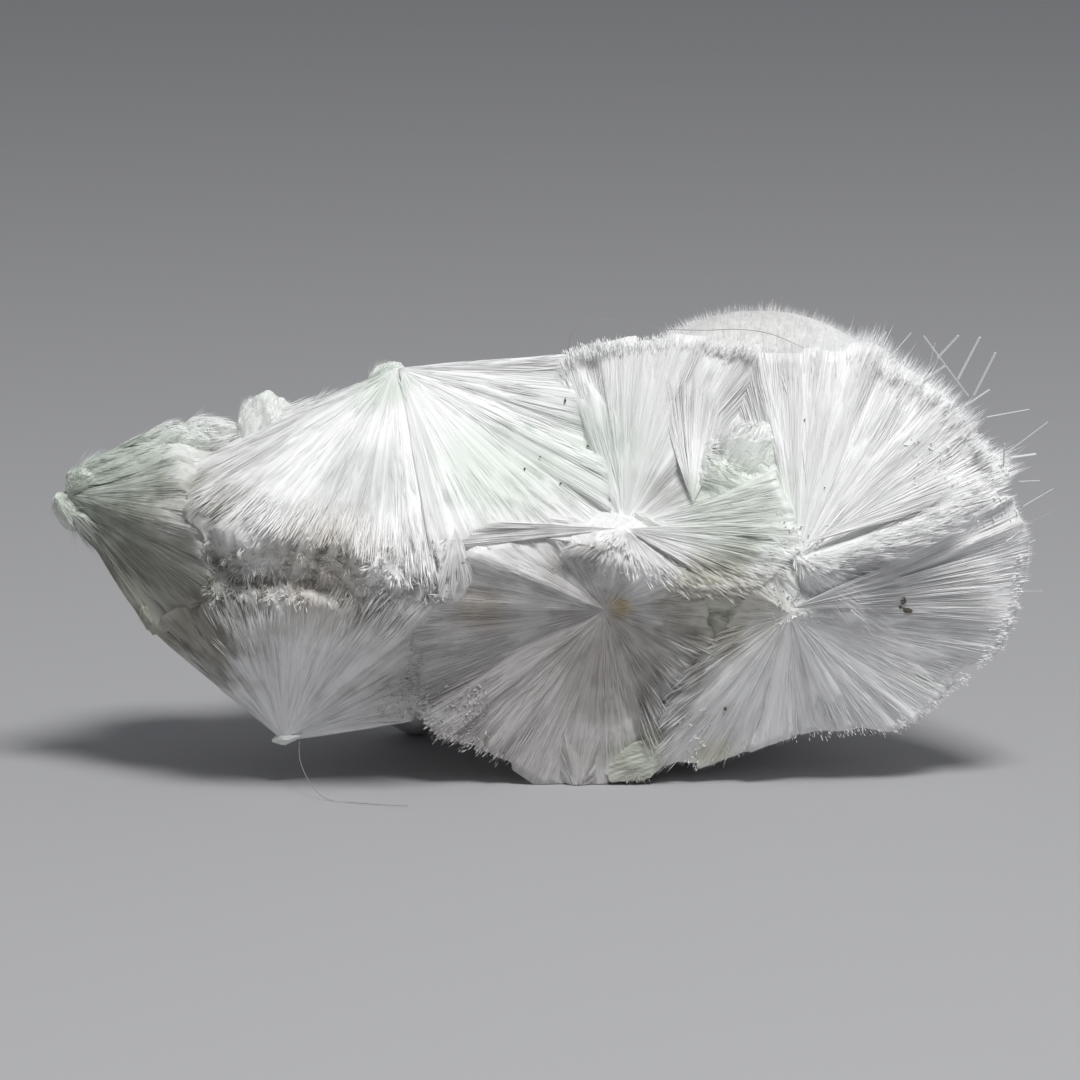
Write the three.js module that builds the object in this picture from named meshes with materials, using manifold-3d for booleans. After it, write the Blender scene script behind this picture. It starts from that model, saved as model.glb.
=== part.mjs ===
// An okenite cluster about 25 mm long. Sprays of hair-fine white fibres grew into each other, and the
// cluster broke open along one long face. Millimetres, +Z up, the broken face looks along -Y.
//
// Each spray is one closed shape: its fibres leave a point, the apex, and end on a rounded cap, and its
// flank is the ruled surface of its outermost fibres. A whole puffball is a spray whose flank is turned
// back inside it. The sprays and the blocky crusts between them are joined in one solid, as they grew,
// and the solid is cut level where it stands.
import * as THREE from "three";
import { mergeVertices } from "three/addons/utils/BufferGeometryUtils.js";
import Module from "manifold-3d";

// Driving dimensions.
const FACETS_AROUND = 44; // facets round a broken spray
const FACETS_AROUND_PUFF = 30; // facets round a whole puffball
const CAP_ROWS = 5; // rows of facets on a cap
const FLANK_ROWS = 2; // rows of facets on a flank
const PLEAT = 2.0; // how far a flank waves in and out, in degrees
const LUMP = 0.03; // how far a cap waves in and out, as a share of its reach
const FOOT_CUT = 0.15; // height of the level cut under the feet
const ORIGIN = [-0.072, 3.949]; // bottom centre of the cluster, seen from above
const CUT_BLOCK = 60; // side of the block that makes the level cut, wider than the cluster

const INWARDS = [0, 0.985, -0.174]; // the broken face leans back by 10 degrees: this points into it
const FORWARDS = [0, -1, 0];
const UP = [0, 0, 1];

// Where sprays meet each other, and where their outer rims turn. All places are in mm from the point
// where the front foot stands.
const corners = {
  tuft: [-9.1, -0.6, 7.6], ridge_left: [-7.5, -1.6, 7.1], ridge_middle: [-5.3, -2.1, 6.9],
  shoulder_low: [-9.9, 1.4, 8.2], shoulder: [-8.6, 2.4, 8.7], peak: [-7.3, 2.5, 9.25],
  saddle: [-6.35, 2.5, 9.6], tips: [-2.7, -1.8, 5.7], fold_left: [-8.4, -0.9, 5.4],
  fold_middle: [-5.9, -1.6, 5.4], fold_right: [-2.8, -1.4, 5.4],
  nub: [-10.2, 0.9, 4.2], crumb: [-3.4, 0.8, 1.7], left_top: [-9.7, 2.5, 9.25],
  left_back_top: [-8.6, 4.2, 8.6], left_back: [-7.8, 5.2, 6.4], left_back_low: [-8.6, 4.6, 4.4],
  lower_back_left: [-8.5, 4.8, 4.8], lower_back: [-5, 5.6, 4.6], lower_back_right: [-3, 4, 4.2],
  lower_right: [-2.4, 0.9, 3.4], upper_back_left: [-8.4, 4, 7.4], upper_back: [-5, 5.4, 6.4],
  upper_back_right: [-1.5, 4.3, 6.6], edge_left: [-1.7, -1.5, 6.7], edge_right: [0, -0.5, 6.9],
  middle_apex: [2.2, 0.8, 6.9], seam_top: [0.7, 2.4, 11.3], behind_seam: [0.6, 4.6, 9.6],
  behind_edge: [-1.2, 4.8, 6.4], under_seam: [-0.4, 2.6, 8.8], top_a: [1.6, 2.3, 11.55],
  top_b: [2.9, 2.4, 11.65], top_c: [4.2, 2.5, 11.6], top_d: [5.7, 2.2, 11.4], under_rim: [6.6, 2.7, 11],
  under_top: [5, 2.9, 11.1], crust_top: [6.1, 0.3, 8.3], crust_end: [6.7, -0.3, 6.5],
  ledge_a: [1.5, -0.5, 6.65], ledge_b: [2.7, -0.9, 6], ledge_c: [4.1, -1, 5.6],
  ledge_d: [5.6, -0.9, 5.7], cleft_top: [4.6, -0.2, 4.1], cleft_middle: [3.3, 0.3, 2.4],
  cleft_low: [3, 0.6, 0.6], foot_right: [2.4, 0.4, 0.1], foot: [1.6, 0.3, -0.1],
  foot_left: [0.5, 0.2, -0.1], bottom_a: [-1, 0.4, 0.9], bottom_b: [-2.6, 0.3, 1.5],
  bottom_c: [-3.3, 0.2, 2.4], bottom_d: [-3.4, -0.4, 3.9], rim_a: [7.3, 2, 11.4],
  rim_b: [8.6, 1.9, 11.4], rim_c: [10.2, 1.6, 10.6], rim_d: [11.5, 1.2, 9.3], rim_e: [12.1, 0.9, 8.2],
  step_a: [10.4, -0.8, 7.3], step_b: [8.5, -1, 6.5], step_c: [7.1, -0.9, 6], under_step: [12, 0.5, 8],
  under_crust: [5, 1.5, 7.5], under_tips: [-2.1, -1.3, 6.2], under_ledge: [5.7, 0.6, 5.7],
  inside_step: [7.6, 0.6, 7.2], rim_f: [12.6, 0.9, 6.6], rim_g: [12.5, 1, 4.9], rim_h: [12.1, 1, 3.7],
  rim_i: [11, 0.9, 2.6], rim_j: [9.3, 0.6, 1.5], rim_k: [8.4, 0.6, 1.7], rim_l: [6.5, 0.4, 1.4],
  rim_m: [5.1, 0.4, 0.9], rim_n: [3.9, 0.4, 0.6],
};

// The broken face, from left to right. A spray's axis leaves the apex and meets the middle of its cap at
// reach. Its rim runs straight from each corner that it meets to the next. Where edge is given instead,
// it goes once round the rim, clockwise as seen from the apex, from the side that first names. Each of
// its places is a clock angle, the angle between the axis and the flank, and the reach.
const fans = [
  {
    name: "left", apex: [-12.5, 2, 7.6], axis: [8.4, -0.2, -2], reach: 8.6, first: FORWARDS,
    meets: [
      "tuft", "fold_left", "nub", "left_back_low", "left_back", "left_back_top", "left_top",
    ],
  },
  {
    name: "lower_left", apex: [-6.7, 0.4, 1.3], axis: [0.2, 1, 3.6], reach: 4.6, first: FORWARDS,
    meets: [
      "fold_left", "fold_middle", "fold_right", "lower_right", "crumb", "lower_back_right",
      "lower_back", "lower_back_left", "nub",
    ],
  },
  {
    name: "upper_left", apex: [-3.8, 2.3, 10.9], axis: [-2, 0.2, -5.4], reach: 8.2, first: FORWARDS,
    meets: [
      "tuft", "ridge_left", "ridge_middle", "tips", "under_tips", "upper_back_right", "upper_back",
      "upper_back_left", "saddle", "peak", "shoulder", "shoulder_low",
    ],
  },
  {
    name: "upper_middle", apex: [-3.7, 2.3, 10.9], axis: [3, 3.2, -2.6], reach: 4.2, first: FORWARDS,
    meets: [
      "tips", "edge_left", "edge_right", "middle_apex", "seam_top", "behind_seam", "behind_edge",
      "upper_back_right",
    ],
  },
  {
    name: "middle", apex: [2.2, 0.8, 6.9], axis: INWARDS, reach: 5, first: UP,
    meets: [
      "seam_top", "top_a", "top_b", "top_c", "top_d", "under_rim", "crust_top", "crust_end", "ledge_d",
      "ledge_c", "ledge_b", "ledge_a", "edge_right", "under_seam",
    ],
  },
  {
    name: "right_upper", apex: [6.7, -0.5, 6.3], axis: INWARDS, reach: 6.8, first: UP,
    meets: [
      "under_top", "top_d", "rim_a", "rim_b", "rim_c", "rim_d", "rim_e", "step_a", "step_b", "step_c",
      "under_ledge", "under_crust",
    ],
  },
  {
    name: "right_lower", apex: [6.5, -0.7, 4.9], axis: INWARDS, reach: 6.4, first: UP,
    meets: [
      "inside_step", "under_step", "rim_f", "rim_g", "rim_h", "rim_i", "rim_j", "rim_k", "rim_l",
      "rim_m", "rim_n", "cleft_low", "cleft_middle", "cleft_top", "ledge_d",
    ],
  },
  {
    name: "lower_middle", apex: [1.7, -0.2, 4.9], axis: INWARDS, reach: 5.2, first: UP,
    meets: [
      "ledge_b", "ledge_c", "cleft_top", "cleft_middle", "cleft_low", "foot_right", "foot", "foot_left",
      "bottom_a", "bottom_b", "bottom_c", "bottom_d", "fold_right", "edge_left", "edge_right",
      "ledge_a",
    ],
  },
  {
    name: "front_foot", apex: [0.97, 0.3, -0.05], axis: [0.1, 0.9, 3], reach: 2.8, first: FORWARDS,
    edge: [[0, 10, 1.9], [60, 30, 2.6], [100, 55, 3.2], [180, 50, 3], [250, 52, 2.4], [300, 30, 2.2]],
  },
];

// Behind: whole puffballs, which end in rounded caps all round, and the foot that the back stands on.
const puffs = [
  {
    name: "back_top_puff", apex: [5.8, 5, 6.9], axis: [0, 0.4, 1], reach: 5.3, first: FORWARDS,
    edge: [[0, 120, 3.4], [90, 140, 5.1], [180, 140, 4.6], [270, 140, 4.75]],
  },
  {
    name: "upper_puff", apex: [-0.8, 4.9, 6.5], axis: [0, 1, 0.2], reach: 3.3, first: UP,
    edge: [[0, 120, 4], [90, 120, 3.8], [180, 120, 3.6], [270, 120, 3.8]],
  },
  {
    name: "middle_puff", apex: [2.7, 5.2, 6.9], axis: [0, 1, 0.2], reach: 4, first: UP,
    edge: [[0, 120, 4.2], [90, 115, 4], [180, 115, 4], [270, 115, 4]],
  },
  {
    name: "back_left_puff", apex: [-3.2, 5.7, 5.1], axis: [0, 1, 0.3], reach: 4, first: UP,
    edge: [[0, 130, 4.3], [90, 130, 4.2], [180, 130, 4.2], [270, 130, 4.3]],
  },
  {
    name: "far_left_puff", apex: [-8.2, 3.8, 6.1], axis: [0, 1, 0.2], reach: 3.1, first: UP,
    edge: [[0, 130, 2.9], [90, 130, 3.2], [180, 130, 2.9], [270, 130, 2.9]],
  },
  {
    name: "back_middle_puff", apex: [0.9, 5, 4.3], axis: [0, 1, -0.1], reach: 4.2, first: UP,
    edge: [[0, 130, 4], [90, 130, 4.1], [180, 130, 3.8], [270, 130, 4.1]],
  },
  {
    name: "back_lower_puff", apex: [4.6, 6.4, 3.35], axis: [0.2, 1, -0.2], reach: 3.5, first: UP,
    edge: [[0, 130, 3.4], [90, 130, 3.5], [180, 130, 3.4], [270, 130, 3.4]],
  },
  {
    name: "back_foot", apex: [-3.4, 7.4, -0.05], axis: [0.3, -1.2, 3.4], reach: 3.6, first: FORWARDS,
    edge: [[0, 50, 3.6], [90, 48, 3.2], [180, 28, 2.6], [270, 52, 3.4]],
  },
];

// Compact, blocky lumps between the sprays: their middles, the direction that their fibres run in, and
// their half widths along it, into the cluster and across both.
const blocks = [
  { name: "end_roll", middle: [-10.9, 2.2, 8.38], grain: [1, 0, 0.32], half: [1.5, 0.55, 0.42] },
  { name: "end_block_upper", middle: [-12, 2.1, 7.95], grain: [1, 0, 0.6], half: [0.52, 0.5, 0.36] },
  { name: "end_block_lower", middle: [-12.4, 2.1, 7.15], grain: [0.55, 0, -0.8], half: [0.53, 0.5, 0.36] },
  { name: "end_strip", middle: [-11.4, 2, 6.4], grain: [0.76, 0, -0.65], half: [1.45, 0.5, 0.36] },
  { name: "top_block_left", middle: [-9.85, 2.75, 8.8], grain: [0.9, 0, 0.45], half: [0.85, 0.75, 0.45] },
  { name: "top_block_grey", middle: [-8.75, 2.9, 8.9], grain: [1, 0, 0.1], half: [0.95, 0.9, 0.5] },
  { name: "top_block_peak", middle: [-7.3, 2.7, 9.2], grain: [0.15, 0, 1], half: [0.95, 0.8, 0.68] },
  { name: "top_block_right", middle: [-5.4, 2.8, 9.4], grain: [0.8, 0, 0.6], half: [1.1, 0.9, 0.7] },
  { name: "upper_block", middle: [-4, 2.6, 10.35], grain: [0.5, 0, 1], half: [0.7, 0.55, 0.5] },
  { name: "crust_plate", middle: [5.25, 1.15, 7.65], grain: [1, -0.2, -0.3], half: [1.5, 0.65, 1.25] },
  { name: "crust_peak", middle: [5.5, 1.35, 8.5], grain: [0.5, 0, 1], half: [1.25, 0.6, 0.85] },
  { name: "crust_corner", middle: [6, 0.4, 6.8], grain: [0.6, -0.1, -1], half: [0.75, 0.42, 0.6] },
  { name: "crust_root", middle: [4.2, 0.5, 6.4], grain: [1, -0.1, -0.25], half: [1.3, 0.45, 0.5] },
  { name: "ledge_block", middle: [4, -0.1, 5.4], grain: [1, 0, -0.1], half: [2.1, 0.6, 0.55] },
  { name: "hollow_block", middle: [4.6, 0.3, 4.6], grain: [1, 0, -0.2], half: [1.2, 0.6, 0.8] },
  { name: "milky_block", middle: [6.3, -0.25, 5.75], grain: [0.7, 0, -0.7], half: [0.6, 0.35, 0.4] },
  { name: "foot_block", middle: [2.45, 0.42, 0.75], grain: [1, 0, 0.35], half: [0.8, 0.14, 0.45] },
];

// The flank angle and the reach of a rim at a clock angle, smooth from one place of edge to the next.
function edgeAt(edge, clock) {
  const after = edge.findIndex((place) => place[0] > clock);
  const next = edge[Math.max(after, 0)];
  const last = edge.at(after < 0 ? -1 : after - 1);
  const span = (next[0] - last[0] + 360) % 360;
  const share = ((clock - last[0] + 360) % 360) / span;
  const [, spread, reach] = last.map((value, i) => THREE.MathUtils.lerp(
    value, next[i], THREE.MathUtils.smoothstep(share, 0, 1)));
  return { spread, reach };
}

// The same for a rim that runs through corners, given as arms from the apex in the order of their clock
// angles: where the half plane of the clock angle crosses the line from one corner to the next.
function cornersAt(arms, clock, frame) {
  const after = arms.findIndex((arm) => arm.clock > clock);
  const next = arms[Math.max(after, 0)].arm;
  const last = arms.at(after < 0 ? -1 : after - 1).arm;
  const angle = THREE.MathUtils.degToRad(clock);
  const across = frame.second.clone().multiplyScalar(Math.cos(angle))
    .addScaledVector(frame.first, -Math.sin(angle));
  const offset = last.dot(across);
  const share = THREE.MathUtils.clamp(offset / (offset - next.dot(across)), 0, 1);
  const arm = last.clone().lerp(next, share);
  return { spread: THREE.MathUtils.radToDeg(arm.angleTo(frame.axis)), reach: arm.length() };
}

// A wave round a circle, between about -1 and 1, made of three rates of folds.
function pleat(angle, phase) {
  return 0.5 * Math.sin(5 * angle + phase)
    + 0.3 * Math.sin(9 * angle + 2.3 * phase)
    + 0.2 * Math.sin(14 * angle + 4.1 * phase);
}

// One spray as a closed geometry: a sphere whose rows are laid from the middle of the cap to its rim and
// then down the flank to the apex. phase tells one spray's folds from another's.
function sprayGeometry(spray, phase, facets) {
  const apex = new THREE.Vector3(...spray.apex);
  const axis = new THREE.Vector3(...spray.axis).normalize();
  const first = new THREE.Vector3(...spray.first);
  first.addScaledVector(axis, -first.dot(axis)).normalize();
  const second = new THREE.Vector3().crossVectors(axis, first);
  const frame = { axis, first, second };
  const arms = (spray.meets ?? []).map((name) => {
    const arm = new THREE.Vector3(...corners[name]).sub(apex);
    const clock = THREE.MathUtils.radToDeg(Math.atan2(arm.dot(second), arm.dot(first)));
    return { arm, clock: (clock + 360) % 360 };
  }).sort((a, b) => a.clock - b.clock);

  const sphere = new THREE.SphereGeometry(1, facets, CAP_ROWS + FLANK_ROWS);
  const position = sphere.getAttribute("position");
  for (let i = 0; i < position.count; i++) {
    const row = Math.floor(i / (facets + 1));
    const clock = 360 * ((i % (facets + 1)) % facets) / facets;
    const angle = THREE.MathUtils.degToRad(clock);
    const capShare = Math.min(1, row / CAP_ROWS);
    const flankShare = Math.max(0, (row - CAP_ROWS) / FLANK_ROWS);
    const rim = spray.meets ? cornersAt(arms, clock, frame) : edgeAt(spray.edge, clock);
    const lean = capShare * THREE.MathUtils.degToRad(rim.spread + PLEAT * pleat(angle, phase));
    const rimShare = Math.sin((capShare * Math.PI) / 2) ** 2;
    const lump = 1 + LUMP * capShare * pleat(angle, phase + 1);
    const reach = THREE.MathUtils.lerp(spray.reach, rim.reach, rimShare) * lump * (1 - flankShare);
    const point = apex.clone()
      .addScaledVector(axis, Math.cos(lean) * reach)
      .addScaledVector(first, Math.sin(lean) * Math.cos(angle) * reach)
      .addScaledVector(second, Math.sin(lean) * Math.sin(angle) * reach);
    position.setXYZ(i, point.x, point.y, point.z);
  }
  return sphere;
}

// A block as a closed geometry: a ball of 80 facets, stretched to its half widths and turned to its grain.
function blockGeometry(block) {
  const along = new THREE.Vector3(...block.grain).normalize();
  const inwards = new THREE.Vector3(0, 1, 0).addScaledVector(along, -along.y).normalize();
  const across = new THREE.Vector3().crossVectors(along, inwards);
  return new THREE.IcosahedronGeometry(1, 1)
    .scale(...block.half)
    .applyMatrix4(new THREE.Matrix4().makeBasis(along, inwards, across))
    .translate(...block.middle);
}

const wasm = await Module();
wasm.setup();

// A closed three.js geometry as a manifold-3d solid.
function solidOf(geometry) {
  geometry.deleteAttribute("normal");
  geometry.deleteAttribute("uv");
  const merged = mergeVertices(geometry);
  return new wasm.Manifold(new wasm.Mesh({
    numProp: 3,
    vertProperties: new Float32Array(merged.getAttribute("position").array),
    triVerts: new Uint32Array(merged.index.array),
  }));
}

// A manifold-3d solid as a three.js geometry.
function geometryOf(solid) {
  const mesh = solid.getMesh();
  const geometry = new THREE.BufferGeometry();
  geometry.setAttribute("position", new THREE.BufferAttribute(mesh.vertProperties, 3));
  geometry.setIndex(new THREE.BufferAttribute(mesh.triVerts, 1));
  geometry.computeVertexNormals();
  return geometry;
}

const grown = [
  ...fans.map((spray, i) => sprayGeometry(spray, i + 1, FACETS_AROUND)),
  ...puffs.map((spray, i) => sprayGeometry(spray, fans.length + i + 1, FACETS_AROUND_PUFF)),
  ...blocks.map(blockGeometry),
].map(solidOf).reduce((whole, solid) => whole.add(solid));

const below = new THREE.BoxGeometry(CUT_BLOCK, CUT_BLOCK, CUT_BLOCK);
below.translate(0, 0, FOOT_CUT - CUT_BLOCK / 2);

const okenite = new THREE.Mesh(
  geometryOf(grown.subtract(solidOf(below))),
  new THREE.MeshStandardMaterial({ color: 0xeeeeea, roughness: 0.55, metalness: 0 }),
);
okenite.name = "okenite_cluster";
okenite.position.set(-ORIGIN[0], -ORIGIN[1], -FOOT_CUT);

const specimen = new THREE.Group();
specimen.add(okenite);
export default specimen;
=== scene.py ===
import bpy
import numpy as np
from mathutils import Matrix, Vector
from mathutils.bvhtree import BVHTree


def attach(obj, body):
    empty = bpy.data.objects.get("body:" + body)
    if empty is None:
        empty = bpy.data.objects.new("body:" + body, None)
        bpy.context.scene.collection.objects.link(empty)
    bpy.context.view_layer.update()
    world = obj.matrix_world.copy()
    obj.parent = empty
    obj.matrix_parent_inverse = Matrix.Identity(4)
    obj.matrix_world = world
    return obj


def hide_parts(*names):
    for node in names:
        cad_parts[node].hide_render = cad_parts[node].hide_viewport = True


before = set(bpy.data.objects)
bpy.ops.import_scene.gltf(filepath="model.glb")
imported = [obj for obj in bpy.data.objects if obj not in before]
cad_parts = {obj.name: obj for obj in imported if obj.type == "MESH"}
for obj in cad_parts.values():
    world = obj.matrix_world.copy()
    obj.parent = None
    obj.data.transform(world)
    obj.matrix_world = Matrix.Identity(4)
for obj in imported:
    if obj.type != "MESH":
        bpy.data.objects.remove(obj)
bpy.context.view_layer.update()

# The sprays. Okenite grows as balls of hair-fine white fibres that all leave one point. These grew into
# each other and broke open along one long face, so that each shows as a fan of silky bundles. Under the
# single fibres, the bundles are one closed surface.
MM = 0.001
FOOT = np.array([-0.072, 3.949, 0.15])  # from the front foot's tip to the frame's origin, in mm
INWARDS = [0, 0.985, -0.174]  # into the broken face, which leans back by 10 degrees
FORWARDS = [0, -1, 0]
UP = [0, 0, 1]
PLEAT = 2.0  # how far a flank waves in and out, in degrees
LUMP = 0.03  # how far a cap waves in and out, as a share of its reach
BODY_SHARE = 0.965  # reach of the closed surface, as a share of the reach of the fibre tips
FAN_SHARE = 1.02  # the same for a broken spray, whose surface runs on into its neighbours
BELOW = 30.0  # half width of the box that cuts the cluster level at the table
FAN_GRID = (480, 6, 18)  # points round a broken spray, and rows on its cap and on its flank
PUFF_GRID = (110, 30, 2)  # the same for a ball at the back

# Places along the edges where sprays meet, and along their outer rims.
CORNERS = {
    "tuft": (-9.1, -0.6, 7.6), "ridge_left": (-7.5, -1.6, 7.1), "ridge_middle": (-5.3, -2.1, 6.9),
    "shoulder_low": (-9.9, 1.4, 8.2), "shoulder": (-8.6, 2.4, 8.7),
    "peak": (-7.3, 2.5, 9.25), "saddle": (-6.35, 2.5, 9.6),
    "tips": (-2.7, -1.8, 5.7), "fold_left": (-8.4, -0.9, 5.4), "fold_middle": (-5.9, -1.6, 5.4),
    "fold_right": (-2.8, -1.4, 5.4), "nub": (-10.2, 0.9, 4.2),
    "crumb": (-3.4, 0.8, 1.7), "left_top": (-9.7, 2.5, 9.25), "left_back_top": (-8.6, 4.2, 8.6),
    "left_back": (-7.8, 5.2, 6.4), "left_back_low": (-8.6, 4.6, 4.4), "lower_back_left": (-8.5, 4.8, 4.8),
    "lower_back": (-5.0, 5.6, 4.6), "lower_back_right": (-3.0, 4.0, 4.2), "lower_right": (-2.4, 0.9, 3.4),
    "upper_back_left": (-8.4, 4.0, 7.4), "upper_back": (-5.0, 5.4, 6.4), "upper_back_right": (-1.5, 4.3, 6.6),
    "edge_left": (-1.7, -1.5, 6.7), "edge_right": (0.0, -0.5, 6.9), "middle_apex": (2.2, 0.8, 6.9),
    "seam_top": (0.7, 2.4, 11.3), "behind_seam": (0.6, 4.6, 9.6), "behind_edge": (-1.2, 4.8, 6.4),
    "under_seam": (-0.4, 2.6, 8.8), "top_a": (1.6, 2.3, 11.55), "top_b": (2.9, 2.4, 11.65),
    "top_c": (4.2, 2.5, 11.6), "top_d": (5.7, 2.2, 11.4), "under_rim": (6.6, 2.7, 11.0),
    "under_top": (5.0, 2.9, 11.1), "crust_top": (6.1, 0.3, 8.3),
    "crust_end": (6.7, -0.3, 6.5), "ledge_a": (1.5, -0.5, 6.65), "ledge_b": (2.7, -0.9, 6.0),
    "ledge_c": (4.1, -1.0, 5.6), "ledge_d": (5.6, -0.9, 5.7), "cleft_top": (4.6, -0.2, 4.1),
    "cleft_middle": (3.3, 0.3, 2.4), "cleft_low": (3.0, 0.6, 0.6), "foot_right": (2.4, 0.4, 0.1),
    "foot": (1.6, 0.3, -0.1), "foot_left": (0.5, 0.2, -0.1), "bottom_a": (-1.0, 0.4, 0.9),
    "bottom_b": (-2.6, 0.3, 1.5), "bottom_c": (-3.3, 0.2, 2.4), "bottom_d": (-3.4, -0.4, 3.9),
    "rim_a": (7.3, 2.0, 11.4), "rim_b": (8.6, 1.9, 11.4), "rim_c": (10.2, 1.6, 10.6),
    "rim_d": (11.5, 1.2, 9.3), "rim_e": (12.1, 0.9, 8.2), "step_a": (10.4, -0.8, 7.3),
    "step_b": (8.5, -1.0, 6.5), "step_c": (7.1, -0.9, 6.0), "under_step": (12.0, 0.5, 8.0),
    "under_crust": (5.0, 1.5, 7.5), "under_tips": (-2.1, -1.3, 6.2), "under_ledge": (5.7, 0.6, 5.7),
    "inside_step": (7.6, 0.6, 7.2),
    "rim_f": (12.6, 0.9, 6.6), "rim_g": (12.5, 1.0, 4.9), "rim_h": (12.1, 1.0, 3.7),
    "rim_i": (11.0, 0.9, 2.6), "rim_j": (9.3, 0.6, 1.5), "rim_k": (8.4, 0.6, 1.7), "rim_l": (6.5, 0.4, 1.4),
    "rim_m": (5.1, 0.4, 0.9), "rim_n": (3.9, 0.4, 0.6),
}

# Each spray: its name, its apex, its axis, its reach along the axis, the side that its clock starts from,
# and its rim: the corners that it reaches to, or rows of clock angle, flank angle and reach. The clock
# turns clockwise, seen from the apex.
FANS = [
    ("left", (-12.5, 2.0, 7.6), (8.4, -0.2, -2.0), 8.6, FORWARDS, [
        "tuft", "fold_left", "nub", "left_back_low", "left_back", "left_back_top", "left_top"]),
    ("lower_left", (-6.7, 0.4, 1.3), (0.2, 1.0, 3.6), 4.6, FORWARDS, [
        "fold_left", "fold_middle", "fold_right", "lower_right", "crumb", "lower_back_right", "lower_back",
        "lower_back_left", "nub"]),
    ("upper_left", (-3.8, 2.3, 10.9), (-2.0, 0.2, -5.4), 8.2, FORWARDS, [
        "tuft", "ridge_left", "ridge_middle", "tips", "under_tips", "upper_back_right", "upper_back",
        "upper_back_left", "saddle", "peak", "shoulder", "shoulder_low"]),
    ("upper_middle", (-3.7, 2.3, 10.9), (3.0, 3.2, -2.6), 4.2, FORWARDS, [
        "tips", "edge_left", "edge_right", "middle_apex", "seam_top", "behind_seam", "behind_edge",
        "upper_back_right"]),
    ("middle", (2.2, 0.8, 6.9), INWARDS, 5.0, UP, [
        "seam_top", "top_a", "top_b", "top_c", "top_d", "under_rim", "crust_top", "crust_end", "ledge_d",
        "ledge_c", "ledge_b", "ledge_a", "edge_right", "under_seam"]),
    ("right_upper", (6.7, -0.5, 6.3), INWARDS, 6.8, UP, [
        "under_top", "top_d", "rim_a", "rim_b", "rim_c", "rim_d", "rim_e", "step_a", "step_b", "step_c",
        "under_ledge", "under_crust"]),
    ("right_lower", (6.5, -0.7, 4.9), INWARDS, 6.4, UP, [
        "inside_step", "under_step", "rim_f", "rim_g", "rim_h", "rim_i", "rim_j", "rim_k", "rim_l", "rim_m",
        "rim_n", "cleft_low", "cleft_middle", "cleft_top", "ledge_d"]),
    ("lower_middle", (1.7, -0.2, 4.9), INWARDS, 5.2, UP, [
        "ledge_b", "ledge_c", "cleft_top", "cleft_middle", "cleft_low", "foot_right", "foot", "foot_left",
        "bottom_a", "bottom_b", "bottom_c", "bottom_d", "fold_right", "edge_left", "edge_right", "ledge_a"]),
    ("front_foot", (0.97, 0.3, -0.05), (0.1, 0.9, 3.0), 2.8, FORWARDS, [
        (0, 10, 1.9), (60, 30, 2.6), (100, 55, 3.2), (180, 50, 3.0), (250, 52, 2.4), (300, 30, 2.2)]),
]
PUFFS = [
    ("back_top_puff", (5.8, 5.0, 6.9), (0, 0.4, 1), 5.3, FORWARDS, [
        (0, 120, 3.4), (90, 140, 5.1), (180, 140, 4.6), (270, 140, 4.75)]),
    ("upper_puff", (-0.8, 4.9, 6.5), (0, 1, 0.2), 3.3, UP, [
        (0, 120, 4.0), (90, 120, 3.8), (180, 120, 3.6), (270, 120, 3.8)]),
    ("middle_puff", (2.7, 5.2, 6.9), (0, 1, 0.2), 4.0, UP, [
        (0, 120, 4.2), (90, 115, 4.0), (180, 115, 4.0), (270, 115, 4.0)]),
    ("back_left_puff", (-3.2, 5.7, 5.1), (0, 1, 0.3), 4.0, UP, [
        (0, 130, 4.3), (90, 130, 4.2), (180, 130, 4.2), (270, 130, 4.3)]),
    ("far_left_puff", (-8.2, 3.8, 6.1), (0, 1, 0.2), 3.1, UP, [
        (0, 130, 2.9), (90, 130, 3.2), (180, 130, 2.9), (270, 130, 2.9)]),
    ("back_middle_puff", (0.9, 5.0, 4.3), (0, 1, -0.1), 4.2, UP, [
        (0, 130, 4.0), (90, 130, 4.1), (180, 130, 3.8), (270, 130, 4.1)]),
    ("back_lower_puff", (4.6, 6.4, 3.35), (0.2, 1, -0.2), 3.5, UP, [
        (0, 130, 3.4), (90, 130, 3.5), (180, 130, 3.4), (270, 130, 3.4)]),
    ("back_foot", (-3.4, 7.4, -0.05), (0.3, -1.2, 3.4), 3.6, FORWARDS, [
        (0, 50, 3.6), (90, 48, 3.2), (180, 28, 2.6), (270, 52, 3.4)]),
]
RAMP = 0.2  # how wide the ramp between two bundles is, as a share of a bundle
WIDE, NARROW = 23, 71  # how many wide and how many narrow bundles lie side by side round a spray
RIM_WIDE, RIM_NARROW = 37, 97  # and how many bundles of each kind may break off short at its rim
# How far the bundles of each broken spray stand out, in degrees: the wide ones and the narrow ones. Then
# how much shorter the shortest break off, as a share of the reach.
RELIEF = {
    "left": (0.9, 0.5, 0.05), "lower_left": (1.2, 0.6, 0.05), "upper_left": (1.4, 0.7, 0.09),
    "upper_middle": (1.0, 0.5, 0.05), "middle": (2.2, 0.9, 0.07), "right_upper": (1.4, 0.7, 0.05),
    "right_lower": (1.6, 0.8, 0.05), "lower_middle": (1.6, 0.8, 0.05), "front_foot": (1.2, 0.6, 0.05),
}


def unit(vectors):
    """Vectors divided by their own length."""
    vectors = np.asarray(vectors, float)
    return vectors / np.linalg.norm(vectors, axis=-1, keepdims=True)


def smooth(share):
    """0 below 0, 1 above 1, and the smooth step 3s^2 - 2s^3 between."""
    share = np.clip(share, 0, 1)
    return share * share * (3 - 2 * share)


def mix(low, high, share):
    """The value a share of the way from low to high."""
    return low + (high - low) * share


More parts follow.
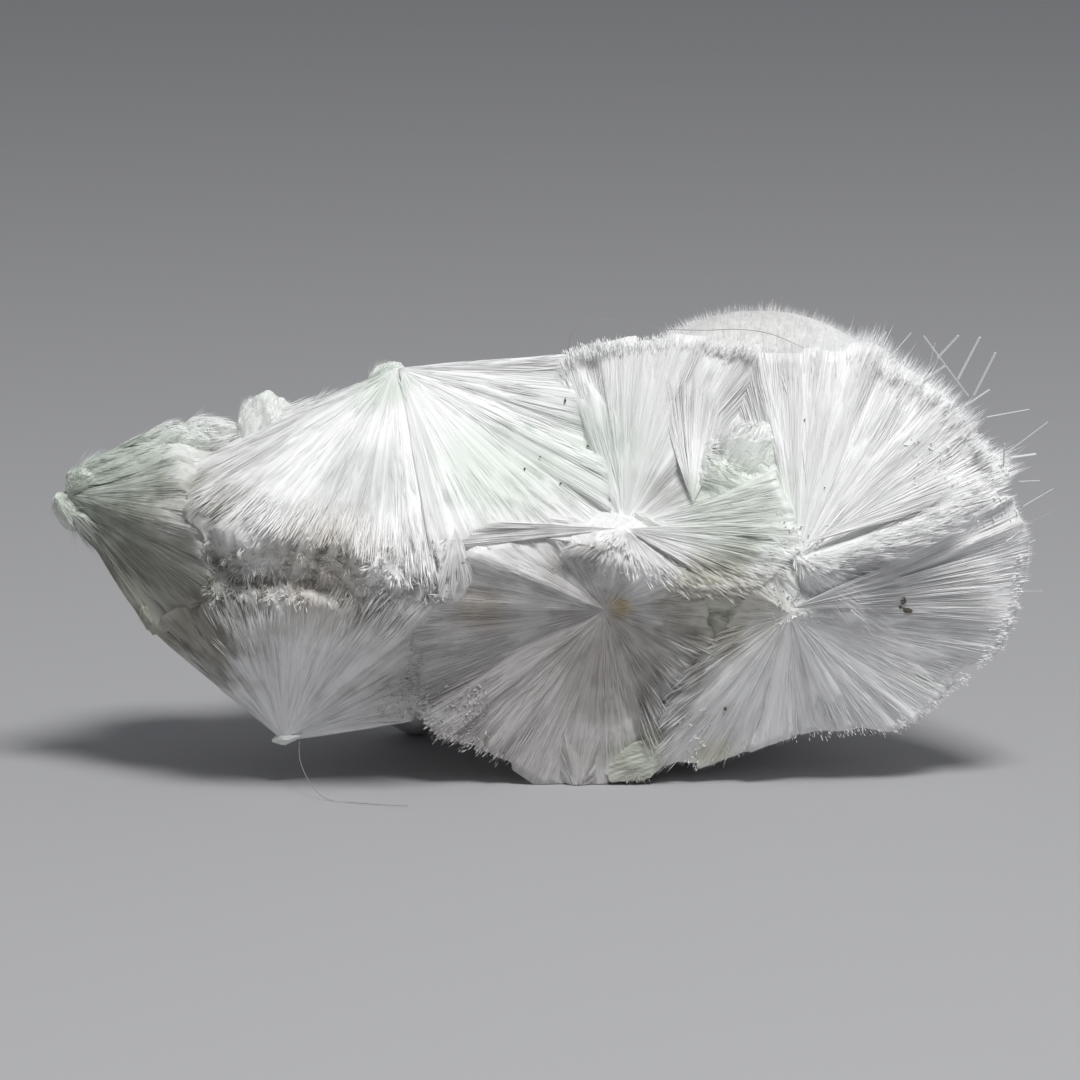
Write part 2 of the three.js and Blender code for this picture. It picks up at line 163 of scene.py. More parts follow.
sprays = {}
for place, (name, apex, axis, reach, first, rim) in enumerate(FANS + PUFFS):
    axis = unit(axis)
    first = unit(first - axis * np.dot(first, axis))
    coarse, fine, ragged = RELIEF.get(name, (0, 0, 0))
    spray = {
        "apex": np.array(apex) - FOOT, "axis": axis, "first": first, "second": np.cross(axis, first),
        "reach": reach, "place": place, "coarse": coarse, "fine": fine, "ragged": ragged,
        "share": BODY_SHARE, "corners": None,
    }
    if isinstance(rim[0], str):
        arms = np.array([CORNERS[corner] for corner in rim]) - apex
        clocks = np.arctan2(arms @ spray["second"], arms @ first) / (2 * np.pi) % 1.0
        order = np.argsort(clocks)
        spray.update(corners=arms[order], clocks=clocks[order], share=FAN_SHARE)
    else:
        spray["rim"] = np.array(rim, float)
    sprays[name] = spray


def rim_at(spray, turn):
    """Flank angle in degrees and reach of a spray's rim at a share of a turn. Between two corners it is
    where the half plane of that clock angle crosses the straight line from one to the other. Between two
    rows it is a smooth step."""
    turn = np.asarray(turn, float) % 1.0
    if spray["corners"] is None:
        clocks, angles, reaches = spray["rim"].T
        clock = turn * 360.0
        last = np.searchsorted(clocks, clock, side="right") - 1
        following = (last + 1) % len(clocks)
        span = (clocks[following] - clocks[last]) % 360.0
        share = smooth(((clock - clocks[last]) % 360.0) / span)
        return mix(angles[last], angles[following], share), mix(reaches[last], reaches[following], share)
    last = np.searchsorted(spray["clocks"], turn, side="right") - 1
    here, there = spray["corners"][last], spray["corners"][(last + 1) % len(spray["corners"])]
    angle = 2 * np.pi * turn[..., None]
    across = np.cos(angle) * spray["second"] - np.sin(angle) * spray["first"]
    offset = (here * across).sum(-1)
    share = offset / (offset - (there * across).sum(-1))
    arm = here + (there - here) * np.clip(share, 0, 1)[..., None]
    reach = np.linalg.norm(arm, axis=-1)
    return np.degrees(np.arccos(arm @ spray["axis"] / reach)), reach


def pleat(turn, phase):
    """A wave round a circle, between about -1 and 1: three sines of 5, 9 and 14 folds."""
    angle = 2 * np.pi * turn
    return (0.5 * np.sin(5 * angle + phase) + 0.3 * np.sin(9 * angle + 2.3 * phase)
            + 0.2 * np.sin(14 * angle + 4.1 * phase))


def bundles(turn, share, count, seed):
    """Height of fibre bundles that lie side by side round a spray, about -1 to 1. Each has a level of its
    own, and drops where it broke off, at a share of the reach of its own. Neighbours meet in a steep
    ramp."""
    draw = np.random.default_rng(seed)
    level = draw.uniform(-1, 1, count)
    broken = draw.uniform(0.3, 1.5, count)
    drop = draw.uniform(0.2, 0.9, count)
    place = (turn % 1.0) * count + 0.12 * np.sin(7 * share + 40 * turn)
    column = np.floor(place).astype(int)
    ramp = smooth((place - column - 0.5) / RAMP + 0.5)

    def top(which):
        which = which % count
        jagged = 0.04 * np.sin(11 * place + 5 * which)
        return level[which] - drop[which] * smooth((share - broken[which] - jagged) / 0.08)
    return mix(top(column), top(column + 1), ramp)


def flank_angle(spray, turn, share):
    """Angle between a spray's axis and its flank, in radians, at a share of the rim's reach: the rim's
    angle, its pleats, and two sizes of bundles."""
    angle, _ = rim_at(spray, turn)
    relief = (spray["coarse"] * bundles(turn, share, WIDE, 100 + spray["place"])
              + spray["fine"] * bundles(turn, share, NARROW, 200 + spray["place"]))
    return np.radians(angle + PLEAT * pleat(turn, spray["place"] + 1) + relief)


def rim_reach(spray, turn):
    """Reach of the fibre tips along the rim: that of its rows, in lumps, with the odd bundle broken off
    shorter."""
    _, reach = rim_at(spray, turn)
    broken = (bundles(turn, 0.0, RIM_WIDE, 300 + spray["place"])
              + 0.5 * bundles(turn, 0.0, RIM_NARROW, 400 + spray["place"]))
    lump = 1 + LUMP * pleat(turn, spray["place"] + 2)
    return reach * lump * (1 - spray["ragged"] * np.clip(broken, 0, 1.5))


def towards(spray, turn, lean):
    """Directions from a spray's apex: leaned away from its axis by an angle, towards a share of a turn
    from its first side. Also the directions square to them, away from the axis."""
    angle = 2 * np.pi * turn
    side = np.cos(angle)[..., None] * spray["first"] + np.sin(angle)[..., None] * spray["second"]
    cos, sin = np.cos(lean)[..., None], np.sin(lean)[..., None]
    return spray["axis"] * cos + side * sin, side * cos - spray["axis"] * sin


def cap_reach(spray, turn, share):
    """Reach of a spray's cap at a share of the way from its middle to its rim: it goes from the axis's
    reach to the rim's as sin squared of a quarter turn, with lumps that fade towards the middle. The
    rim's broken ends come in as the sixth power of the share, so that they show at the rim only."""
    rim_share = np.sin(share * np.pi / 2) ** 2
    lump = 1 + LUMP * share * pleat(turn, spray["place"] + 2)
    _, reach = rim_at(spray, turn)
    return mix(spray["reach"] * lump, mix(reach * lump, rim_reach(spray, turn), share ** 6), rim_share)


def spray_surface(spray, around, cap_rows, flank_rows):
    """Closed surface of a spray as places and faces: rows from the middle of the cap out to the rim, and
    down the flank to the apex, with one place at each end."""
    turn = np.arange(around) / around
    cap = np.arange(1, cap_rows + 1)[:, None] / cap_rows
    flank = 1 - np.arange(1, flank_rows)[:, None] / flank_rows
    turns = np.broadcast_to(turn, (cap_rows + flank_rows - 1, around))
    rim_angle = flank_angle(spray, turn, np.ones(around))
    lean = np.concatenate([cap * rim_angle, flank_angle(spray, turns[cap_rows:], flank + 0 * turn)])
    reach = np.concatenate([cap_reach(spray, turn, cap), rim_reach(spray, turn) * flank]) * spray["share"]
    rows = towards(spray, turns, lean)[0] * reach[..., None]
    top = spray["axis"] * spray["reach"] * spray["share"]
    places = np.concatenate([[top], rows.reshape(-1, 3), [np.zeros(3)]]) + spray["apex"]
    here = 1 + np.arange(len(rows))[:, None] * around + np.arange(around)
    beside = np.roll(here, -1, axis=1)
    quads = np.stack([here[:-1], here[1:], beside[1:], beside[:-1]], -1).reshape(-1, 4)
    triangles = np.concatenate([quads[:, [0, 1, 2]], quads[:, [0, 2, 3]]])
    start = np.stack([np.zeros(around, int), here[0], beside[0]], -1)
    end = np.stack([here[-1], np.full(around, len(places) - 1), beside[-1]], -1)
    return places, np.concatenate([start, triangles, end])


def mesh_of(name, places, faces):
    """A mesh object from places in mm and rows of corner numbers, all faces with as many corners."""
    mesh = bpy.data.meshes.new(name)
    mesh.vertices.add(len(places))
    mesh.vertices.foreach_set("co", (places * MM).astype(np.float32).ravel())
    mesh.loops.add(faces.size)
    mesh.loops.foreach_set("vertex_index", faces.astype(np.int32).ravel())
    mesh.polygons.add(len(faces))
    mesh.polygons.foreach_set("loop_start", (np.arange(len(faces)) * faces.shape[1]).astype(np.int32))
    mesh.update(calc_edges=True)
    piece = bpy.data.objects.new(name, mesh)
    bpy.context.scene.collection.objects.link(piece)
    return piece


def joined(name, solids):
    """One closed mesh from the closed solids of sprays, which overlap, cut level at the table. The face
    attribute spray says which spray each face is of."""
    for own, solid in solids.items():
        numbers = solid.data.attributes.new("spray", "INT", "FACE")
        numbers.data.foreach_set("value", np.full(len(solid.data.polygons), sprays[own]["place"], np.int32))
    whole, *others = solids.values()
    group = bpy.data.collections.new(name)
    for solid in others:
        group.objects.link(solid)
    union = whole.modifiers.new("union", "BOOLEAN")
    union.operation = "UNION"
    union.solver = "MANIFOLD"
    union.operand_type = "COLLECTION"
    union.collection = group
    wide = (-BELOW, BELOW)
    box = np.array([[x, y, z] for x in wide for y in wide for z in (-BELOW, 0.0)])
    below = mesh_of("below", box, np.array([
        [0, 1, 3, 2], [4, 6, 7, 5], [0, 4, 5, 1], [2, 3, 7, 6], [0, 2, 6, 4], [1, 5, 7, 3]]))
    cut = whole.modifiers.new("cut", "BOOLEAN")
    cut.operation = "DIFFERENCE"
    cut.solver = "MANIFOLD"
    cut.object = below
    bpy.context.view_layer.update()
    evaluated = whole.evaluated_get(bpy.context.evaluated_depsgraph_get())
    mesh = bpy.data.meshes.new_from_object(evaluated)
    for solid in [whole, *others, below]:
        bpy.data.objects.remove(solid)
    bpy.data.collections.remove(group)
    piece = bpy.data.objects.new(name, mesh)
    bpy.context.scene.collection.objects.link(piece)
    return piece


class Wire:
    """A socket in a material's node tree. Arithmetic on it adds Math nodes and gives their sockets."""

    def __init__(self, tree, socket=None):
        self.tree = tree
        self.socket = socket

    def node(self, kind, settings=(), sockets=(), output=0):
        """Another node's output: its settings are set first, then its sockets get values or wires."""
        made = self.tree.nodes.new(kind)
        for key, value in dict(settings).items():
            setattr(made, key, value)
        for key, value in dict(sockets).items():
            if isinstance(value, Wire):
                self.tree.links.new(value.socket, made.inputs[key])
            else:
                made.inputs[key].default_value = value
        return Wire(self.tree, made.outputs[output]) if made.outputs else None

    def math(self, operation, *values):
        """A Math node on these values."""
        return self.node("ShaderNodeMath", {"operation": operation}, enumerate(values))

    def __add__(self, other):
        return self.math("ADD", self, other)

    def __sub__(self, other):
        return self.math("SUBTRACT", self, other)

    def __rsub__(self, other):
        return self.math("SUBTRACT", other, self)

    def __mul__(self, other):
        return self.math("MULTIPLY", self, other)

    __radd__ = __add__
    __rmul__ = __mul__

    def tinted(self, colour, mask, blend="MIX"):
        """This colour, changed towards another by a mask."""
        settings = {"data_type": "RGBA", "blend_type": blend, "clamp_factor": True}
        return self.node("ShaderNodeMix", settings, {0: mask, 6: self, 7: colour}, 2)

    def noise(self, scale, detail):
        """Smooth noise, about 0.5, with this vector as its place."""
        return self.node("ShaderNodeTexNoise", {"noise_dimensions": "3D"},
                         {"Vector": self, "Scale": scale, "Detail": detail}, "Fac")

    def between(self, low, high):
        """0 where this is under low, 1 over high, and a smooth step between."""
        return self.node("ShaderNodeMapRange", {"interpolation_type": "SMOOTHSTEP"},
                         {"Value": self, "From Min": low, "From Max": high}, 0)


# Tints of the broken face, each spread round a place: the place and its radius in mm, the colour that white
# is multiplied by there, and how strong that is. Some are stains and green crust, others are painted shade in
# the hollows, under the ledges and over the lower half.
TINTS_AND_PAINTED_SHADE = [
    ((-9.8, 0.9, 5.6), 4.4, (0.34, 0.33, 0.27), 0.85),  # the left end, painted shade, grey brown
    ((-10.9, 1.6, 7.9), 2.8, (0.70, 0.78, 0.70), 0.8),  # its upper side, green
    ((-4.2, 2.0, 10.3), 1.2, (0.72, 0.80, 0.72), 0.7),  # at the upper apex
    ((5.2, 0.3, 7.4), 2.3, (0.84, 0.90, 0.82), 0.8),  # the compact crust on the right of the middle
    ((1.4, 1.4, 8.8), 2.1, (0.84, 0.91, 0.84), 0.7),  # left of the middle fan
    ((-1.2, 0.6, 8.6), 2.3, (0.80, 0.88, 0.80), 0.7),  # the middle of the upper fan
    ((3.3, 0.9, 7.9), 0.9, (0.62, 0.62, 0.60), 0.7),  # painted shade in the hollow beside the crust
    ((1.0, -0.7, 6.2), 1.0, (0.66, 0.65, 0.64), 0.8),  # painted shade in the hollow under the ridge
    ((4.6, -0.9, 5.0), 2.3, (0.66, 0.64, 0.55), 0.8),  # the hollow under the crust: painted shade, and a yellowish stain
    ((2.1, -0.5, 4.9), 0.5, (0.95, 0.74, 0.36), 0.8),  # ochre stain at an apex
    ((-1.5, -1.0, 4.9), 1.2, (0.84, 0.76, 0.64), 0.6),  # ochre stain on its left
    ((2.6, 0.2, 0.8), 1.2, (0.74, 0.76, 0.66), 0.8),  # by the front foot
    ((4.6, 0.2, 0.8), 0.9, (0.80, 0.78, 0.62), 0.7),  # the lower edge beside it
    ((-0.5, -0.2, 2.6), 5.8, (0.55, 0.525, 0.51), 0.8),  # painted shade over the lower half, a little violet
    ((2.1, -0.1, 3.5), 2.6, (0.60, 0.58, 0.56), 0.8),  # and deeper painted shade right under the ochre apex
    ((-5.6, -1.2, 6.1), 2.2, (0.80, 0.76, 0.70), 0.8),  # the broken band under the curtain
    ((-8.6, 0.4, 4.4), 1.6, (0.70, 0.68, 0.62), 0.8),  # the left of the lower left fan
    ((-4.5, -0.4, 8.4), 1.7, (0.74, 0.75, 0.74), 0.8),  # the middle of the curtain
    ((5.5, 4.6, 11.4), 3.2, (0.78, 0.78, 0.76), 0.8),  # the top of the ball at the back
]
TINT_ROUGHNESS = 0.8  # how far the edge of a tint wanders, as a share of its radius
TINT_PATCHES = 1.3  # how many times the edge wanders, to the millimetre
WIDE_STREAKS, NARROW_STREAKS = 19.0, 90.0  # how many streaks of each kind there are to the radian
TONE_RANGE = 0.14  # how much brighter the brightest fibre is than the darkest
FIBRE_IOR = 1.53


def new_paint(name):
    """A material without any nodes, and the wire that its nodes start from."""
    paint = bpy.data.materials.new(name)
    paint.use_nodes = True
    paint.node_tree.nodes.clear()
    return paint, Wire(paint.node_tree)


def surfaced(start, sockets):
    """Gives a material its shader, from values or wires for the shader's sockets."""
    solid = start.node("ShaderNodeBsdfPrincipled", {}, sockets)
    start.node("ShaderNodeOutputMaterial", {}, {"Surface": solid})


def fibre_material(name, white, roughness, streaks, relief):
    """White fibres with silky sides. The attribute ray is the direction that a fibre leaves its apex in,
    so noise in it makes streaks along the fibres: wide ones of a bundle and narrow ones of a few fibres.
    tone is each fibre's own. Under the fibres there is relief of the narrow streaks."""
    paint, start = new_paint(name)
    ray = start.node("ShaderNodeAttribute", {"attribute_name": "ray"}, output="Vector")
    tone = start.node("ShaderNodeAttribute", {"attribute_name": "tone"}, output="Fac")
    place = start.node("ShaderNodeTexCoord", output="Object")
    wander = (place.noise(TINT_PATCHES / MM, 3.0) - 0.5) * TINT_ROUGHNESS
    wide = ray.noise(WIDE_STREAKS, 2.0)
    narrow = ray.noise(NARROW_STREAKS, 2.0)
    colour = start.node("ShaderNodeCombineColor", {}, enumerate(white))
    # the tints multiply the colour: stains and green crust, and painted shade
    for centre, radius, tint, strength in TINTS_AND_PAINTED_SHADE:
        away = start.node("ShaderNodeVectorMath", {"operation": "DISTANCE"},
                          {0: place, 1: (np.array(centre) - FOOT) * MM}, "Value")
        mask = (1.0 - (away * (1 / MM / radius) + wander).between(0.3, 1.0)) * strength
        colour = colour.tinted((*tint, 1), mask, "MULTIPLY")
    shade = (wide - 0.5) * (2 * streaks) + (narrow - 0.5) * streaks + (tone - 0.5) * TONE_RANGE + 0.95
    grey = start.node("ShaderNodeCombineColor", {}, {0: shade, 1: shade, 2: shade})
    sockets = {"Base Color": colour.tinted(grey, 1.0, "MULTIPLY"), "Roughness": roughness, "IOR": FIBRE_IOR}
    if relief:
        sockets["Normal"] = start.node(
            "ShaderNodeBump", {}, {"Strength": relief, "Distance": 0.02 * MM, "Height": narrow}, "Normal")
    surfaced(start, sockets)
    return paint


def values_of(mesh, attribute, kind, domain, values):
    """Adds an attribute to a mesh, from one row of values for each of its points or face corners."""
    key = "vector" if kind == "FLOAT_VECTOR" else "value"
    made = mesh.attributes.new(attribute, kind, domain)
    made.data.foreach_set(key, np.asarray(values, np.float32).ravel())


def finished(piece, paint, slot, smooth_faces=True):
    """Gives a piece its material, its shading and its body. Its slot is not used."""
    piece.data.materials.clear()
    piece.data.materials.append(paint)
    if smooth_faces:
        piece.data.shade_smooth()
    else:
        piece.data.shade_flat()
    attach(piece, "root")


RAY_STEP = 7.0  # from one spray's place in the streak noise to the next one's
solids = {}
for name, spray in sprays.items():
    grid = PUFF_GRID if spray["place"] >= len(FANS) else FAN_GRID
    solids[name] = mesh_of(name, *spray_surface(spray, *grid))
body = joined("spray_bundles", solids)

places = np.empty(len(body.data.vertices) * 3, np.float32)
body.data.vertices.foreach_get("co", places)
corners = np.empty(len(body.data.loops), np.int32)
body.data.loops.foreach_get("vertex_index", corners)
which = np.empty(len(body.data.polygons), np.int32)
body.data.attributes["spray"].data.foreach_get("value", which)
sizes = np.empty(len(body.data.polygons), np.int32)
body.data.polygons.foreach_get("loop_total", sizes)
which = np.repeat(which, sizes)
apexes = np.array([spray["apex"] for spray in sprays.values()])
body_places = places.reshape(-1, 3) / MM
arms = body_places[corners] - apexes[which]
reaches = np.maximum(np.linalg.norm(arms, axis=1, keepdims=True), 1e-6)
values_of(body.data, "ray", "FLOAT_VECTOR", "CORNER", arms / reaches + which[:, None] * RAY_STEP)
values_of(body.data, "tone", "FLOAT", "POINT", np.full(len(body.data.vertices), 0.5))
bundle_paint = fibre_material("okenite_bundles", (0.95, 0.95, 0.945), 0.5, 0.22, 0.4)
finished(body, bundle_paint, "okenite_fibre")
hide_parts("okenite_cluster")


# Single fibres on the broken face. They are crystals a few hundredths of a millimetre wide and a
# millimetre or two long, which lie side by side along each fan in small tufts. Each is a long, low roof.
FIBRE_WIDTH = 0.012  # half the width of a fibre, in mm
WIDTH_SPREAD = 0.35  # how much fibres differ in width: the spread of its logarithm
FIBRE_LENGTH = (0.6, 2.3)  # the shortest and the longest fibre, in mm
TUFT = 12  # fibres in a tuft
WIDEST_AT = 0.6  # where along a fibre it is widest, as a share of its length
TUFT_LEAN, FIBRE_LEAN = 0.04, 0.015  # how far tufts lean aside, and fibres from their tuft, in radians
ASTRAY, FURTHER = 0.05, 3.0  # the share of fibres that lean further, and how many times as far
SUNK = 0.01  # how far under the surface a fibre starts, in mm
COVER = 0.03  # how deep inside another spray a place is hidden, in mm
LOWEST = 0.02  # what is lower than this is left out too, in mm
# Corners of a crystal's section, sideways and up, in half widths: a low roof, and an even prism.
ROOF = np.array([[1.0, -0.15], [0.0, 0.25], [-1.0, -0.15]])
PRISM = np.array([[1.0, 0.0], [-0.5, 0.87], [-0.5, -0.87]])


def buried(places, own):
    """Which places lie inside a spray other than their own: nearer to its axis than its flank, and
    nearer to its apex than its cap."""
    hidden = places[:, 2] < LOWEST
    for spray in sprays.values():
        if spray is own:
            continue
        arms = places - spray["apex"]
        reach = np.maximum(np.linalg.norm(arms, axis=1), 1e-6)
        lean = np.arccos(np.clip(arms @ spray["axis"] / reach, -1, 1))
        turn = np.arctan2(arms @ spray["second"], arms @ spray["first"]) / (2 * np.pi) % 1.0
        flank = flank_angle(spray, turn, np.clip(reach / rim_reach(spray, turn), 0, 1))
        cap = cap_reach(spray, turn, np.clip(lean / flank, 0, 1)) * spray["share"]
        hidden |= (lean < flank - COVER / reach) & (reach < cap - COVER)
    return hidden


def bristles(name, finish, centres, ups, widths, rays, tones, section=ROOF, blunt=False):
    """A piece of many three-sided crystals in one closed mesh. Each runs along its row of two or three
    centres, and has the section's corners at its half width, or at a half width for each centre. It
    starts and ends in a point, or blunt. A row of two centres that isn't blunt starts in a flat base.
    The finish is the piece's material and its slot."""
    count, stations = centres.shape[:2]
    widths = np.broadcast_to(widths.reshape(count, -1), (count, stations))
    along = unit(centres[:, -1] - centres[:, 0])
    side = unit(np.cross(ups, along))
    up = np.cross(along, side)
    ring = section[:, 0, None] * side[:, None] + section[:, 1, None] * up[:, None]
    pointed_start = stations == 3 and not blunt
    rings = []
    sizes = []
    for row in range(stations):
        point = (row == 0 and pointed_start) or (row == stations - 1 and not blunt)
        centre = centres[:, row, None]
        rings.append(centre if point else centre + ring * widths[:, row, None, None])
        sizes.append(1 if point else 3)
    places = np.concatenate(rings, axis=1)
    places[..., 2] = np.maximum(places[..., 2], 0.0)
    first = np.cumsum([0] + sizes)
    faces = []
    for row in range(stations - 1):
        low = first[row] + np.arange(3) % sizes[row]
        high = first[row + 1] + np.arange(3) % sizes[row + 1]
        if sizes[row] == 3:
            faces.append(np.stack([low, np.roll(low, -1), np.roll(high, -1)], -1))
        if sizes[row + 1] == 3:
            faces.append(np.stack([low, np.roll(high, -1), high], -1))
    if sizes[0] == 3:
        faces.append(np.array([[2, 1, 0]]))
    if sizes[-1] == 3:
        faces.append(first[-2] + np.array([[0, 1, 2]]))
    one = np.concatenate(faces)
    each = places.shape[1]
    whole = (np.arange(count)[:, None, None] * each + one).reshape(-1, 3)
    piece = mesh_of(name, places.reshape(-1, 3), whole)
    values_of(piece.data, "ray", "FLOAT_VECTOR", "POINT", np.repeat(rays, each, axis=0))
    values_of(piece.data, "tone", "FLOAT", "POINT", np.repeat(tones, each))
    finished(piece, *finish, False)


def fan_fibres(name, number, seed, lift):
    """Fibres in tufts along a spray's flank. Each ends at a share of the reach, and starts a length
    before that. It leans a few degrees to a side, as its tuft does, and its end is lifted a little. The
    share of a tuft's end is a square root, so that tufts lie as close at the rim as at the apex."""
    spray = sprays[name]
    draw = np.random.default_rng(seed)
    tuft = draw.integers(0, number // TUFT, number)
    tufts = tuft.max() + 1
    turn = draw.random(tufts)[tuft] + draw.normal(0, 0.004, number)
    end = np.sqrt(draw.uniform(0.002, 1.12, tufts))[tuft] + draw.normal(0, 0.03, number)
    lean_aside = draw.normal(0, TUFT_LEAN, tufts)[tuft] + draw.normal(0, FIBRE_LEAN, number)
    lean_aside *= np.where(draw.random(number) < ASTRAY, FURTHER, 1.0)
    raised = draw.uniform(0, lift, tufts)[tuft] + draw.uniform(-0.3, 0.5, number) * lift
    rim = rim_reach(spray, turn) * spray["share"]
    keep = draw.random(number) < (rim / rim.max()) ** 2
    turn, end, lean_aside, raised, rim = (each[keep] for each in (turn, end, lean_aside, raised, rim))
    end = np.clip(end, 0.06, 1.0) * np.where(end > 0.97, draw.uniform(0.97, 1.03, len(end)), 1.0)
    long = draw.uniform(*FIBRE_LENGTH, len(end))
    start = np.maximum(end - long / rim, 0.015)
    both = np.array([0.0, 1.0])
    shares = mix(start[:, None], end[:, None], both)
    turns = turn[:, None] + (lean_aside * (end - start))[:, None] / (2 * np.pi * end[:, None]) * both
    ways, outs = towards(spray, turns, flank_angle(spray, turns, np.minimum(shares, 1.0)))
    reach = (rim[:, None] * shares)[..., None]
    rise = np.stack([np.full(len(end), -SUNK), raised], 1)[..., None]
    centres = spray["apex"] + ways * reach + outs * rise
    feet, tips = centres[:, 0], centres[:, 1]
    middles = mix(feet, tips, WIDEST_AT)
    seen = ~(buried(tips, spray) & buried(middles, spray))
    count = int(seen.sum())
    width = FIBRE_WIDTH * draw.lognormal(0, WIDTH_SPREAD, count)
    width = np.minimum(width, 0.5 * (start * rim)[seen] + 0.006)
    bristles(name + "_fibres", fibre_finish, np.stack([feet, middles, tips], 1)[seen], outs[seen, 1], width,
             ways[seen, 1] + spray["place"] * RAY_STEP, draw.random(count))


fibre_finish = fibre_material("okenite_fibre", (0.95, 0.95, 0.945), 0.42, 0.2, 0), "okenite_fibre"
FAN_FIBRES = [
    # the spray, how many fibres it gets, and how far their ends are lifted, in mm
    ("left", 8000, 0.03), ("lower_left", 7500, 0.02), ("upper_left", 9500, 0.03),
    ("upper_middle", 9000, 0.02), ("middle", 12500, 0.03), ("right_upper", 13000, 0.04),
    ("right_lower", 12000, 0.03), ("lower_middle", 10500, 0.03), ("front_foot", 3000, 0.02),
]
for seed, (name, number, lift) in enumerate(FAN_FIBRES):
    fan_fibres(name, number, 1000 + seed, lift)


# Ragged crests. Where a fan broke off, its fibres end in a crest of loose tips: a curtain under the
# upper fan, the seam of the middle fan, the step across the right ball, and the lower edges.
TIP_WIDTH = 0.010  # half the width of a loose tip, in mm
CLUMP = 5  # tips in a clump
CLUMP_SPREAD = 0.07  # how far the tips of a clump lie from its middle, in mm
FRONT = np.array([0.1, -0.8, 0.6])  # the side that most of a crest is seen from
CRESTS = [
    # the spray that the fibres are of, the corners along the crest, how wide the crest is, the number of
    # tips, how long they are, in mm, and how far they stray
    ("upper_left", ["tuft", "ridge_left", "ridge_middle", "tips"], 0.1, 6000, 1.3, 0.06),
    ("upper_left", ["shoulder_low", "shoulder", "peak", "saddle"], 0.12, 2000, 0.7, 0.05),
    ("middle", ["seam_top", "top_a", "top_b", "top_c", "top_d"], 0.04, 1800, 0.25, 0.03),
    ("middle", ["under_seam", "seam_top"], 0.05, 500, 0.5, 0.04),
    ("middle", ["crust_end", "ledge_d", "ledge_c", "ledge_b", "ledge_a"], 0.2, 1800, 0.6, 0.12),
    ("right_upper", ["rim_e", "step_a", "step_b", "step_c"], 0.16, 2200, 0.7, 0.08),
    ("right_upper", ["rim_a", "rim_b", "rim_c", "rim_d", "rim_e"], 0.08, 700, 0.35, 0.05),
    ("right_lower", ["rim_f", "rim_g", "rim_h", "rim_i", "rim_j", "rim_l", "rim_n"], 0.04, 800, 0.16, 0.04),
    ("lower_middle", ["bottom_d", "bottom_c", "bottom_b", "bottom_a"], 0.1, 1200, 0.2, 0.08),
    ("lower_middle", ["cleft_low", "foot_right"], 0.1, 400, 0.2, 0.08),
    ("lower_left", ["fold_left", "fold_middle", "fold_right"], 0.3, 2500, 1.1, 0.08),
    ("right_lower", ["cleft_top", "cleft_middle", "cleft_low"], 0.12, 1500, 0.9, 0.05),
    ("lower_middle", ["cleft_top", "cleft_middle", "cleft_low"], 0.12, 1200, 0.9, 0.05),
]


def crest(seed, own, names, spread, number, long, stray):
    """Tips along the straight lines between corners, in clumps: each starts back towards the spray's
    apex, and points away from it, a few degrees astray."""
    spray = sprays[own]
    draw = np.random.default_rng(3000 + seed)
    line = np.array([CORNERS[corner] for corner in names]) - FOOT
    clumps = number // CLUMP
    clump = draw.integers(0, clumps, number)
    place = draw.uniform(0, len(line) - 1, clumps)
    step = place.astype(int)
    middles = mix(line[step], line[step + 1], (place - step)[:, None]) + draw.normal(0, spread, (clumps, 3))
    ends = middles[clump] + draw.normal(0, CLUMP_SPREAD, (number, 3))
    ways = unit(ends - spray["apex"])
    aims = unit(ways + draw.normal(0, stray, (clumps, 3))[clump] + draw.normal(0, 0.3 * stray, (number, 3)))
    ends = ends - aims * (0.4 * long * draw.random(clumps)[clump])[:, None]
    feet = ends - aims * (long * draw.uniform(0.5, 1.0, number))[:, None]
    seen = ~buried(ends, None)
    feet, ends, aims, ways = feet[seen], ends[seen], aims[seen], ways[seen]
    count = len(feet)
    widths = TIP_WIDTH * draw.lognormal(0, WIDTH_SPREAD, count)
    bristles("crest_%d" % (seed + 1), fibre_finish, np.stack([feet, mix(feet, ends, 0.7), ends], 1),
             FRONT + draw.normal(0, 0.4, (count, 3)), widths, ways + spray["place"] * RAY_STEP,
             draw.uniform(0.4, 1.2, count))


for seed, row in enumerate(CRESTS):
    crest(seed, *row)


